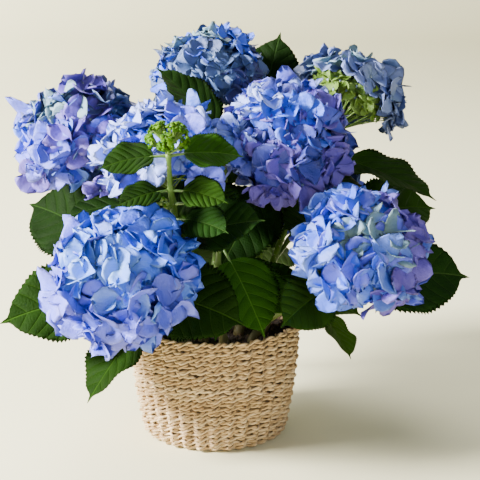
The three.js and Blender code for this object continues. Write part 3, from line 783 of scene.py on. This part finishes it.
leaves = []
numbers = stream(2)
for pair in range(max(len(one.pairs) for one in SHOOTS)):
    for one in SHOOTS:
        if pair >= len(one.pairs):
            continue
        share = 1 - (one.first + KNUCKLE.spacing * pair) / one.length
        if share < LEAFY_SHARE:
            continue
        for turn, tilt, size, *roll in one.pairs[pair]:
            turn = turn + sway(numbers, VARIES.turn)
            tilt = tilt + sway(numbers, VARIES.tilt)
            size = size * (1 + sway(numbers, VARIES.size))
            for smaller, lift, swing in GIVES:
                leaf = leaf_at(one, share, turn + swing, tilt + lift, size * smaller, roll[0] if roll else 0)
                if has_room(leaf, leaves, CLEAR.blade):
                    leaves.append(leaf)
                    break

# ---------- Leaves ----------
# Broad toothed blades with a sunk midrib and side veins, quilted between them, dark and satin above and paler
# below. Each is a thin closed skin on a round stalk that runs on into its midrib.
BLADE = Values(rings=52, sides=24, thick=0.5, tooth=0.07, hook=0.45, wave=3.2)
BODY = Values(ends=0.9, fullest=0.84, blunt=0.58, tip=0.2, tip_from=0.75)
VEINS = Values(pairs=8.5, slant=0.6, curve=1.7, cells=4)
RUFFLE = Values(quick=2.6, slow=1.1, slow_share=0.7)
RIB = Values(deep=1.3, width=0.012, fades=0.8)
STALK = Values(radius=2.1, taper=4, foot=0.5, foot_length=0.012, past=0.06, sunk=0.5)


def margin(t):
    """Half a blade's width with its rounded body and drawn-out tip, as a share of its greatest."""
    body = np.sin(math.pi * np.clip(t / BODY.ends, 0, 1) ** BODY.fullest) ** BODY.blunt
    tip = BODY.tip * np.clip((1 - t) / (1 - BODY.tip_from), 0, 1) * (t > 0.5)
    return np.maximum(body, tip)


# The skin has paler veins, puffs up between them in rows of small cells, and has darker and lighter patches.
LEAF_SKIN, given, out = effect(
    "leaf_skin", Light=(0.02, 0.06, 0.01), Dark=(0.01, 0.03, 0.01), Vein=(0.1, 0.2, 0.05)
)
uv = coordinate(LEAF_SKIN, "UV")
split = axes(uv)
y = calc("ABSOLUTE", calc("SUBTRACT", split["Y"], 0.5))
curved = calc("MULTIPLY", calc("MULTIPLY", y, y), -VEINS.curve)
slanted = calc("ADD", calc("MULTIPLY_ADD", y, -VEINS.slant, split["X"]), curved)
phase = calc("FRACT", calc("MULTIPLY", slanted, VEINS.pairs))
off = calc("ABSOLUTE", calc("SUBTRACT", phase, 0.5))
side_vein = calc("MULTIPLY", clip(off, 16.0, -7.1), 0.6)
ribs = calc("MAXIMUM", clip(y, -150.0, 1.4), side_vein)
row = calc("SINE", calc("MULTIPLY", calc("MULTIPLY_ADD", slanted, 0.35, y), 260.0))
column = calc("SINE", calc("MULTIPLY", slanted, 2 * math.pi * VEINS.cells * VEINS.pairs))
wander = calc("MULTIPLY", noise(uv, 60.0, 2.0), 1.3)
cells = calc("MULTIPLY_ADD", calc("MULTIPLY", row, column), 0.08, wander)
patch = clip(noise(coordinate(LEAF_SKIN, "Object"), 30.0, 3.0), 1.8, -0.4)
body = blend(patch, given["Dark"], given["Light"])
link(blend(calc("MULTIPLY", ribs, 0.75), body, given["Vein"]), out["Colour"])
puff = calc("MULTIPLY_ADD", calc("MULTIPLY", off, off), -4.0, 1.0)
puff = calc("MULTIPLY", puff, clip(y, 25.0))
relief = calc("MULTIPLY_ADD", puff, 1.6, cells)
link(calc("MULTIPLY_ADD", ribs, -1.2, relief), out["Height"])

# Each green's name, roughness, light, dark and veins. The first three are dealt out, and the rest are given.
LEAF_GREENS = [
    finish("leaf_" + name, LEAF_SKIN, rough, 0.8, 0.0010, 0.03, Light=light, Dark=dark, Vein=vein)
    for name, rough, light, dark, vein in (
        ("deep", 0.62, (0.008, 0.026, 0.002), (0.005, 0.015, 0.001), (0.022, 0.058, 0.005)),
        ("green", 0.6, (0.019, 0.053, 0.004), (0.011, 0.032, 0.003), (0.030, 0.075, 0.007)),
        ("blue_green", 0.56, (0.010, 0.034, 0.004), (0.006, 0.021, 0.003), (0.030, 0.066, 0.012)),
        ("fresh_and_lit", 0.66, (0.024, 0.082, 0.005), (0.014, 0.051, 0.003), (0.065, 0.17, 0.018)),
        ("shaded", 0.6, (0.005, 0.016, 0.002), (0.003, 0.010, 0.001), (0.015, 0.038, 0.006)),
        ("under", 0.7, (0.016, 0.042, 0.005), (0.011, 0.029, 0.003), (0.038, 0.075, 0.016)),
    )
]
FRESH_AND_LIT, SHADED, UNDER = 3, 4, 5
# The left side is dealt mostly deep green and the right side lighter greens, as painted shade on the side the
# key lamp lights and painted light on the far side. The far upper leaves on the left and the tall ones in the
# crown take the shaded green, which is painted shade.
DEALT = Values(left=(0.85, 0.1, 0.05), right=(0.25, 0.5, 0.25), left_of=-60)
SHADE = Values(left_of=-110, above=190, crown_above=300)
LIT_ABOVE = 340


def green_of(one, leaf, centre):
    """The number of a leaf's green."""
    tint = leaf_chance.choice(3, p=DEALT.left if centre[0] < DEALT.left_of else DEALT.right)
    # The front shoot's leaves take the fresh green of young leaves, and the bud's upper leaves that turn right
    # take it as painted light.
    if one.name == "front" or (one.name == "bud" and leaf.out[0] > 0 and leaf.foot[2] > LIT_ABOVE):
        return FRESH_AND_LIT
    if one.name == "middle" or (one.name == "upper" and leaf.foot[2] > SHADE.crown_above):
        return SHADED
    return SHADED if centre[0] < SHADE.left_of and centre[2] > SHADE.above else tint


def ball(sides, rings):
    """A ball's shape."""
    bm = bmesh.new()
    bmesh.ops.create_uvsphere(bm, u_segments=sides, v_segments=rings, radius=1)
    return shape_of(bm)


def skin(shape, rings):
    """A ball's points as a thin skin's: ring number from the foot, place across from -1 to 1, and which side
    of the skin each is on, with the side that each face is on."""
    p = shape.points
    ring = rings - np.round(np.arccos(np.clip(p[:, 2], -1, 1)) / math.pi * rings).astype(int)
    turn = np.arctan2(p[:, 1], p[:, 0])
    pole = np.hypot(p[:, 0], p[:, 1]) < 1e-5
    u = np.where(pole, 0, 2 * np.abs(turn) / math.pi - 1)
    side = np.where(pole | (np.abs(u) > 0.999), 0, np.sign(turn))
    starts = np.cumsum(shape.totals) - shape.totals
    upper = np.add.reduceat(p[shape.corners, 1], starts) > 0
    return ring, u, side, upper


blade = ball(BLADE.sides, BLADE.rings)
ring, u, side, upper = skin(blade, BLADE.rings)
tooth = np.where(ring % 2 == 1, 0.5, -0.5) * np.clip(np.minimum(ring, BLADE.rings - ring) / 4, 0, 1)
t = ring / BLADE.rings
t = np.clip(t + BLADE.hook / BLADE.rings * (ring % 2) * (np.abs(u) > 0.9), 0, 1)
rod_shape = rod(8, 10)
leaf_chance = np.random.default_rng(19)
stalk_points = []
for one in SHOOTS:
    own = [leaf for leaf in leaves if leaf.shoot is one]
    if not own:
        continue
    places, uvs, tints = [], [], []
    for leaf in own:
        at, along, face, across_it = course(leaf, LEAF.petiole + (1 - LEAF.petiole) * t)
        toothed = margin(t) * (1 + BLADE.tooth * tooth * np.abs(u) ** 8)
        half = 0.5 * LEAF.width * leaf.length * toothed
        x, y = t * (1 - LEAF.petiole), 0.5 * LEAF.width * margin(t) * u
        wave = leaf_chance.uniform(0, 2 * math.pi, 2)
        ruffle = np.sin(2 * math.pi * RUFFLE.quick * t + wave[0] + np.sign(u)) * np.abs(u) ** 2.5
        ruffle = ruffle + np.sin(2 * math.pi * RUFFLE.slow * t + wave[1]) * u * RUFFLE.slow_share
        size = leaf.length / LEAF.length
        lift = half * np.sqrt(u * u + 0.01) * LEAF.fold + size * BLADE.wave * ruffle * margin(t)
        lift = lift + side * 0.5 * BLADE.thick * (1 - np.abs(u) ** 4)
        rib = RIB.deep * (1 - RIB.fades * t) * np.exp(-((y / RIB.width) ** 2))
        lift = lift - np.where(side < 0, rib, 0)
        places.append(at + (half * u)[:, None] * across_it + lift[:, None] * face)
        uvs.append(np.stack([x, y + 0.5], 1))
        tint = green_of(one, leaf, at.mean(0))
        # A leaf given the shaded green keeps it on its underside too: painted shade on both faces.
        tints.append(np.where(upper, tint, tint if tint == SHADED else UNDER))
        run = rod_shape.points[:, 2] * (LEAF.petiole + STALK.past)
        at, along, face, across_it = course(leaf, run)
        girth = (STALK.radius - STALK.taper * run)[:, None]
        girth = girth * (1 + STALK.foot * np.exp(-run / STALK.foot_length))[:, None]
        px, py = rod_shape.points[:, :1], rod_shape.points[:, 1:2]
        stalk_points.append(at + girth * (py * face - px * across_it) - STALK.sunk * face)
    blades = joined("leaf_blades_" + one.name, blade, np.array(places), np.array(uvs), np.array(tints))
    piece(blades, LEAF_GREENS, "leaves", "leaves_" + one.name)
petiole = green_bark("petiole_green", (0.08, 0.17, 0.018), (0.04, 0.10, 0.01))
piece(joined("leaf_stalks", rod_shape, np.array(stalk_points)), [petiole], "leaves")

# ---------- Flower heads ----------
# Domes of four-lobed florets on green pedicels. Each sepal is a cupped, ruffled skin that overlaps the next,
# round a small bead. Their blues change from head to head, violet where they age, and two heads are painted
# paler on their side towards the key lamp as painted highlight.
HEAD = Values(
    plate=0.8, inner=12, inner_plate=0.72, young=6, young_size=0.85, scatter=0.035, knots=9, knot_proud=0.05,
    knot_fall=0.3, uneven=(-0.05, 0.06), forward=0.1, facing=0.27, size=(0.84, 1.12), mixed=0.4,
    bead=(1.7, 2.4)
)
SEPAL = Values(rings=6, sides=12, width=0.6, thick=0.35)
# How a sepal differs from the next. Each is drawn between two values, in the order that they are used.
DIFFERS = dict(
    spin=(-0.14, 0.14), length=(0.86, 1.12), pointed=(0, 1), width=(0.88, 1.12), rise=(0.2, 0.65),
    curl=(-0.65, 0.1), cup=(-0.4, 0.6), fold=(-0.25, 0.6), tilt=(-0.05, 0.12), ripples=(0.7, 1.5),
    phase=(0, 1), ripple=(0.6, 1.8), crease_along=(-1.0, 1.0), crease_across=(0.3, 0.9),
    crease=(0.2, 0.8), skew=(-0.1, 0.1)
)
GOLDEN = math.pi * (3 - math.sqrt(5))


def dome_spots(dome, count, share, top=DOME.top):
    """Spots evenly over a dome in a sunflower spiral, and the way that the dome faces at each."""
    span = 1 - math.cos(math.radians(dome.spread))
    number = np.arange(count)
    angle = np.arccos(1 - (number + 0.5) / count * span)[:, None]
    turn = (number * GOLDEN)[:, None]
    right = across(RIGHT, dome.faces)
    aside = np.cos(turn) * right + np.sin(turn) * np.cross(dome.faces, right)
    height = np.where(np.cos(angle) > 0, top, DOME.under)
    out = unit(np.sin(angle) * aside + np.cos(angle) / height * dome.faces)
    reach = share * dome.radius
    at = dome.head + reach * (np.sin(angle) * aside + height * np.cos(angle) * dome.faces)
    return at, out


# A sepal's heart and body differ, and its rim and tip are paler as a painted highlight where light catches its
# edges. It has lengthwise veins, creases, and mauve patches where it ages.
SEPAL_SKIN, given, out = effect(
    "sepal_skin",
    Body=(0.1, 0.2, 0.6),
    Heart=(0.2, 0.3, 0.7),
    Rim=(0.3, 0.4, 0.8),
    Mauve=(0.13, 0.08, 0.38),
    Aged=0.25,
)
uv = coordinate(SEPAL_SKIN, "UV")
place = coordinate(SEPAL_SKIN, "Object")
split = axes(uv)
t = split["X"]
y = calc("ABSOLUTE", calc("MULTIPLY_ADD", split["Y"], 2.0, -1.0))
# The paler rim and tip are a painted highlight.
rim = calc("MULTIPLY", calc("MAXIMUM", calc("POWER", y, 8.0), calc("POWER", t, 12.0)), 0.7)
line = noise(uv, 3.0, 4.0, (0.8, 9.0, 1.0))
patch = clip(noise(place, 26.0, 2.0), 4.0, -2.0)
crease = noise(place, 150.0, 2.5)
colour = blend(clip(t, 2.0), given["Heart"], given["Body"])
colour = blend(calc("MULTIPLY", patch, given["Aged"]), colour, given["Mauve"])
veined = calc("MULTIPLY", clip(line, 2.4, -1.0), 0.35)
link(blend(calc("MAXIMUM", veined, rim), colour, given["Rim"]), out["Colour"])
link(calc("MULTIPLY_ADD", line, 0.5, crease), out["Height"])

# Each petal's heart, body and painted rim highlight, with how much of it ages, or which mauve it ages to.
PETAL_COLOURS = {
    "pale": ((0.26, 0.38, 0.82), (0.23, 0.32, 0.86), (0.46, 0.56, 0.94), 0.15),
    "ice": ((0.19, 0.38, 0.64), (0.08, 0.21, 0.78), (0.30, 0.48, 0.88), 0.05),
    "azure": ((0.07, 0.19, 0.80), (0.042, 0.120, 0.80), (0.15, 0.26, 0.86), 0.2),
    "sky": ((0.11, 0.23, 0.72), (0.075, 0.155, 0.66), (0.23, 0.35, 0.82), 0.2),
    "periwinkle": ((0.08, 0.12, 0.62), (0.066, 0.092, 0.58), (0.19, 0.22, 0.74), 0.4),
    "lavender": ((0.12, 0.16, 0.80), (0.105, 0.135, 0.78), (0.26, 0.28, 0.86), 0.4),
    "violet": ((0.11, 0.08, 0.46), (0.095, 0.066, 0.42), (0.22, 0.17, 0.64), 0.6),
    "deep": ((0.035, 0.065, 0.38), (0.024, 0.038, 0.29), (0.11, 0.13, 0.50), 0.4),
    "steel": ((0.08, 0.16, 0.30), (0.054, 0.10, 0.26), (0.14, 0.23, 0.42), (0.11, 0.09, 0.22)),
    "slate": ((0.07, 0.11, 0.24), (0.045, 0.060, 0.20), (0.13, 0.15, 0.34), (0.11, 0.07, 0.17)),
    "sea": ((0.24, 0.38, 0.28), (0.13, 0.24, 0.33), (0.32, 0.44, 0.48), 0.1),
    "lime": ((0.16, 0.27, 0.015), (0.10, 0.20, 0.012), (0.22, 0.32, 0.08), (0.12, 0.17, 0.08)),
    "mist": ((0.17, 0.26, 0.42), (0.12, 0.175, 0.42), (0.27, 0.34, 0.60), (0.14, 0.12, 0.34)),
}
PETALS = {}
for name, (heart, body, rim, ages) in PETAL_COLOURS.items():
    aging = {"Mauve" if isinstance(ages, tuple) else "Aged": ages}
    PETALS[name] = finish(
        "petal_" + name, SEPAL_SKIN, 0.55, 0.7, 0.0022, Body=body, Heart=heart, Rim=rim, **aging
    )

# Each head's number of florets, the length of its sepals in head radii, how crumpled they are, the way that
# its colours change over it, and the colours in that order. The last one is for the youngest, at the top.
HEADS = {
    "front_left": (56, 0.395, 0.10, (-0.6, 0, -0.8), "azure ice sky lavender periwinkle lavender ice"),
    "front_right": (52, 0.40, 0.09, (1, 0, -0.3), "sky azure lavender sky violet lavender sea"),
    # centre_right and centre_left start with their palest colours on the upper left, towards the key lamp:
    # painted highlight.
    "centre_right": (76, 0.345, 0.13, (0.5, 0, -0.8), "pale periwinkle deep violet deep violet azure"),
    "centre_left": (60, 0.37, 0.11, (0.9, 0, -0.3), "pale pale lavender pale sky azure"),
    "left": (60, 0.375, 0.08, (0.8, 0, 0.6), "lavender sky periwinkle violet steel slate sea"),
    "top": (88, 0.29, 0.10, (0.6, 0, -0.8), "steel azure steel slate steel sea"),
    "right": (70, 0.30, 0.09, (0.8, 0, -0.5), "mist mist sea mist steel mist sea"),
    "back_left": (50, 0.40, 0.09, (-0.8, 0, -0.6), "azure sky periwinkle steel azure"),
    "back_right": (50, 0.40, 0.09, (0.8, 0, -0.6), "azure steel periwinkle sky azure"),
}
# Florets that stand out from a head: their place, the way they face, the length of their sepals and colour.
STRAYS = {
    "centre_left": [((-10, -98, 322), (0.15, -0.95, 0.2), 23, "lavender")],
    "left": [
        ((-210, 44, 299), (-0.35, -0.85, -0.1), 22, "violet"),
        ((-132, 16, 287), (0.1, -0.8, -0.4), 24, "violet"),
    ],
    "front_right": [((203, -146, 244), (0.35, -0.85, 0.1), 31, "violet")],
}
# A head that leaves press on is open on that side, and has no florets there.
OPEN_SIDE = Values(head="centre_left", towards=(0.35, -0.35, -0.87), past=0.3)
# The head on the right is young underneath: there its florets are small and green, and its pedicels show.
UNDERSIDE = Values(head="right", towards=(-0.55, -0.6, -0.55), past=0.0, size=0.58, deep=0.78)

sepal = ball(SEPAL.sides, SEPAL.rings)
sepal_ring, sepal_u, sepal_side, _ = skin(sepal, SEPAL.rings)
sepal_t = sepal_ring / SEPAL.rings
sepal_t = 0.5 * sepal_t + 0.25 * (1 - np.cos(math.pi * sepal_t))
sepal_uv = np.stack([sepal_t, sepal_u / 2 + 0.5], 1)
# Half a sepal's width from its foot to its tip, as a share of its greatest, where it is pointed or rounded.
STEPS = (0, 0.08, 0.28, 0.5, 0.66, 0.8, 0.91, 1)
POINTED = np.interp(sepal_t, STEPS, (0.1, 0.24, 0.7, 0.98, 1.04, 0.86, 0.5, 0))
ROUNDED = np.sin(math.pi * (0.04 + 0.96 * sepal_t) ** 1.2) ** 0.6


def sepals_at(at, out, spin, size, crumple, chance):
    """Four sepals round each spot, as points in millimetres."""
    count = len(at)
    first, second = square_to(out)

    def draw(what):
        return chance.uniform(*DIFFERS[what], (count, 4, 1))

    turn = (spin[:, None] + np.arange(4) * math.pi / 2)[..., None] + draw("spin")
    along = np.cos(turn) * first[:, None] + np.sin(turn) * second[:, None]
    face = np.broadcast_to(out[:, None], along.shape)
    aside = np.cross(along, face)
    t, u = sepal_t, sepal_u
    length = size[:, None, None] * draw("length")
    point = draw("pointed")
    half = length * SEPAL.width * draw("width") * (point * POINTED + (1 - point) * ROUNDED)
    rise = length * (draw("rise") * t + draw("curl") * t**2.2)
    rise = rise + draw("cup") * half * u * u + draw("fold") * half * np.abs(u)
    rise = rise + (0.2 + draw("tilt")) * half * u
    ripple = np.sin(2 * math.pi * (draw("ripples") * t + draw("phase")) + 2.0 * np.sign(u)) * np.abs(u) ** 1.6
    rise = rise + draw("ripple") * crumple * length * ripple * np.sin(math.pi * t) ** 0.5
    crease = np.sin(2 * math.pi * (draw("crease_along") * t + draw("crease_across") * u + draw("phase")))
    rise = rise + draw("crease") * crumple * length * crease * np.minimum(1, 2 * t)
    rise = rise + sepal_side * 0.5 * SEPAL.thick
    skew = draw("skew") * length * t * t
    points = at[:, None, None] + (length * t)[..., None] * along[:, :, None]
    points = points + (half * u + skew)[..., None] * aside[:, :, None] + rise[..., None] * face[:, :, None]
    return points.reshape(count * 4, -1, 3)


BEAD = finish(
    "bead_pale", SPECKLE, 0.5, 0.5, 0.0005, Light=(0.50, 0.56, 0.55), Dark=(0.12, 0.22, 0.42), Scale=700.0
)
PEDICEL = green_bark("pedicel_green", (0.16, 0.28, 0.04), (0.08, 0.16, 0.02))
PEDICELS = Values(fork=(0, 0.35), bow=0.3, splay=0.6, radius=0.9)
twig_shape = rod(5, 5)


def twigs(name, foot, tip, bow, radius, slot):
    """Fine twigs from foot to tip that set off along bow."""
    px, py, s = (twig_shape.points[:, i][None, :, None] for i in (0, 1, 2))
    foot, tip, bow = (v[:, None] for v in (foot, tip, bow))
    line = (1 - s) ** 2 * foot + 2 * s * (1 - s) * (foot + bow) + s * s * tip
    right, back = square_to(unit(2 * (1 - s) * bow + 2 * s * (tip - foot - bow)))
    places = line + radius * (1.25 - 0.5 * s) * (px * right + py * back)
    piece(joined(name, twig_shape, places), [PEDICEL], slot)


def beyond(at, one, part):
    """Which spots lie beyond a share of the head's radius towards a part of it."""
    return (at - one.head) @ unit(np.array(part.towards)) > part.past * one.radius


for name, (count, length, crumple, towards, blues) in HEADS.items():
    one = next(one for one in SHOOTS if one.name == name)
    chance = np.random.default_rng(one.seed)
    centre, radius = one.head, one.radius
    outer, inner = dome_spots(one, count, HEAD.plate), dome_spots(one, HEAD.inner, HEAD.inner_plate)
    at, out = (np.concatenate(both) for both in zip(outer, inner))
    count = len(at)
    at = at + chance.normal(0, HEAD.scatter, (count, 3)) * radius
    knots, _ = dome_spots(one, HEAD.knots, HEAD.plate)
    off = np.sqrt(((at[:, None] - knots[None]) ** 2).sum(-1).min(1))[:, None] / radius
    proud = HEAD.knot_proud - HEAD.knot_fall * off + chance.uniform(*HEAD.uneven, (count, 1))
    at = at + proud * radius * out
    out = unit(out + HEAD.forward * one.faces + chance.normal(0, HEAD.facing, (count, 3)))
    size = length * radius * chance.uniform(*HEAD.size, count)
    size[: HEAD.young] *= HEAD.young_size
    palette = blues.split()
    last = len(palette) - 1
    order = (at - centre) @ unit(np.array(towards)) / radius + chance.normal(0, HEAD.mixed, count)
    tint = (order.argsort().argsort() * last) // count
    tint[: HEAD.young] = last
    if name == UNDERSIDE.head:
        under = beyond(at, one, UNDERSIDE)
        at[under] = centre + UNDERSIDE.deep * (at[under] - centre)
        size[under] *= UNDERSIDE.size
        tint[under] = len(palette)
        palette.append("lime")
    if name == OPEN_SIDE.head:
        keep = ~beyond(at, one, OPEN_SIDE)
        at, out, size, tint = at[keep], out[keep], size[keep], tint[keep]
    for place, faces, long, colour in STRAYS.get(name, []):
        at, out = np.append(at, [place], 0), np.append(out, [unit(np.array(faces))], 0)
        size, tint = np.append(size, long), np.append(tint, len(palette))
        palette.append(colour)
    count = len(at)
    turn = chance.uniform(0, 2 * math.pi, count)
    points = sepals_at(at, out, turn, size, crumple, chance)
    blossom = joined("blossom_" + name, sepal, points, sepal_uv, np.repeat(tint, 4))
    piece(blossom, [PETALS[colour] for colour in palette], "blossom", "bloom_" + name)
    beads = pebble.points * chance.uniform(*HEAD.bead, (count, 1, 1)) + (at + 1.2 * out)[:, None]
    piece(joined("beads_" + name, pebble, beads), [BEAD], "blossom")
    neck = centre - NECK * radius * one.faces
    hub = neck + chance.uniform(*PEDICELS.fork, (count, 1)) * radius * one.faces
    bow = PEDICELS.bow * radius * unit(PEDICELS.splay * out + one.faces)
    twigs("pedicels_" + name, hub, at, bow, PEDICELS.radius, "blossom")

# ---------- Young clusters ----------
# A low dome of unopened yellow-green buds in seven knots on pale twigs, and a smaller pale one beside its
# stem. Each bud is a tiny cup of four lobes.
BUD = Values(knots=7, plate=0.9, top=0.62, gather=0.28, scatter=0.03, facing=0.25, size=(0.75, 1.2))
BUD_LOBES = Values(deep=0.34, flat=0.62, rise=0.4, sunk=0.1)
DOME_BUDS = Values(count=154, size=0.092)
SIDE_BUDS = Values(count=34, size=0.17)
TWIG = Values(fork=0.25, bow=0.4, radius=0.035, knot_fork=0.5, knot_bow=0.2, knot_radius=1.3)
BUD_GREENS = [
    finish("bud_" + name, SPECKLE, 0.5, 0.4, 0.0004, 0.1, Light=light, Dark=dark, Scale=160.0, Cover=cover)
    for name, light, dark, cover in (
        ("yellow_green", (0.052, 0.150, 0.001), (0.016, 0.056, 0.001), 0.6),
        ("pale", (0.095, 0.22, 0.002), (0.035, 0.10, 0.001), 0.6),
        ("cream", (0.36, 0.48, 0.14), (0.18, 0.28, 0.06), 0.7),
    )
]
cup = ball(8, 5)
cup_x, cup_y, cup_z = (cup.points[:, i].copy() for i in (0, 1, 2))
wide = np.hypot(cup_x, cup_y)
cup.points[:, :2] *= (1 + BUD_LOBES.deep * np.cos(4 * np.arctan2(cup_y, cup_x)) * wide**2)[:, None]
cup.points[:, 2] = BUD_LOBES.flat * cup_z + BUD_LOBES.rise * wide**2 - BUD_LOBES.sunk


def bud_cluster(name, dome, buds, foot, tints, *replaced):
    """Buds over a low dome, crowded in knots, each on its own twig from the foot."""
    count = buds.count
    chance = np.random.default_rng(dome.seed)
    at, out = dome_spots(dome, count, BUD.plate, BUD.top)
    knots, _ = dome_spots(dome, BUD.knots, BUD.plate, BUD.top)
    nearest = knots[((at[:, None] - knots[None]) ** 2).sum(-1).argmin(1)]
    scatter = chance.normal(0, BUD.scatter, (count, 3)) * dome.radius
    at = at + BUD.gather * (nearest - at) + scatter
    out = unit(out + chance.normal(0, BUD.facing, (count, 3)))
    first, second = square_to(out)
    turn = chance.uniform(0, 2 * math.pi, (count, 1))
    x, y = np.cos(turn) * first + np.sin(turn) * second, np.cos(turn) * second - np.sin(turn) * first
    scale = buds.size * dome.radius * chance.uniform(*BUD.size, (count, 1, 1))
    p = cup.points
    places = p[:, :1] * x[:, None] + p[:, 1:2] * y[:, None] + p[:, 2:] * out[:, None]
    mesh = joined(name, cup, at[:, None] + scale * places, tints=chance.integers(0, 2, count))
    piece(mesh, tints, "buds", *replaced)
    hub = foot + TWIG.fork * (nearest - foot)
    twigs("twigs_" + name, hub, at, TWIG.bow * (nearest - hub), TWIG.radius * dome.radius, "buds")
    stems = np.repeat(foot[None], BUD.knots, 0)
    tips, bow = foot + TWIG.knot_fork * (knots - foot), TWIG.knot_bow * (knots - foot)
    twigs("knot_twigs_" + name, stems, tips, bow, TWIG.knot_radius, "buds")


neck = budding.head - NECK * budding.radius * budding.faces
bud_cluster("bud_dome", budding, DOME_BUDS, neck, BUD_GREENS[:2], "buds_bud")
bud_cluster("bud_side", young, SIDE_BUDS, young.foot, BUD_GREENS[1:])
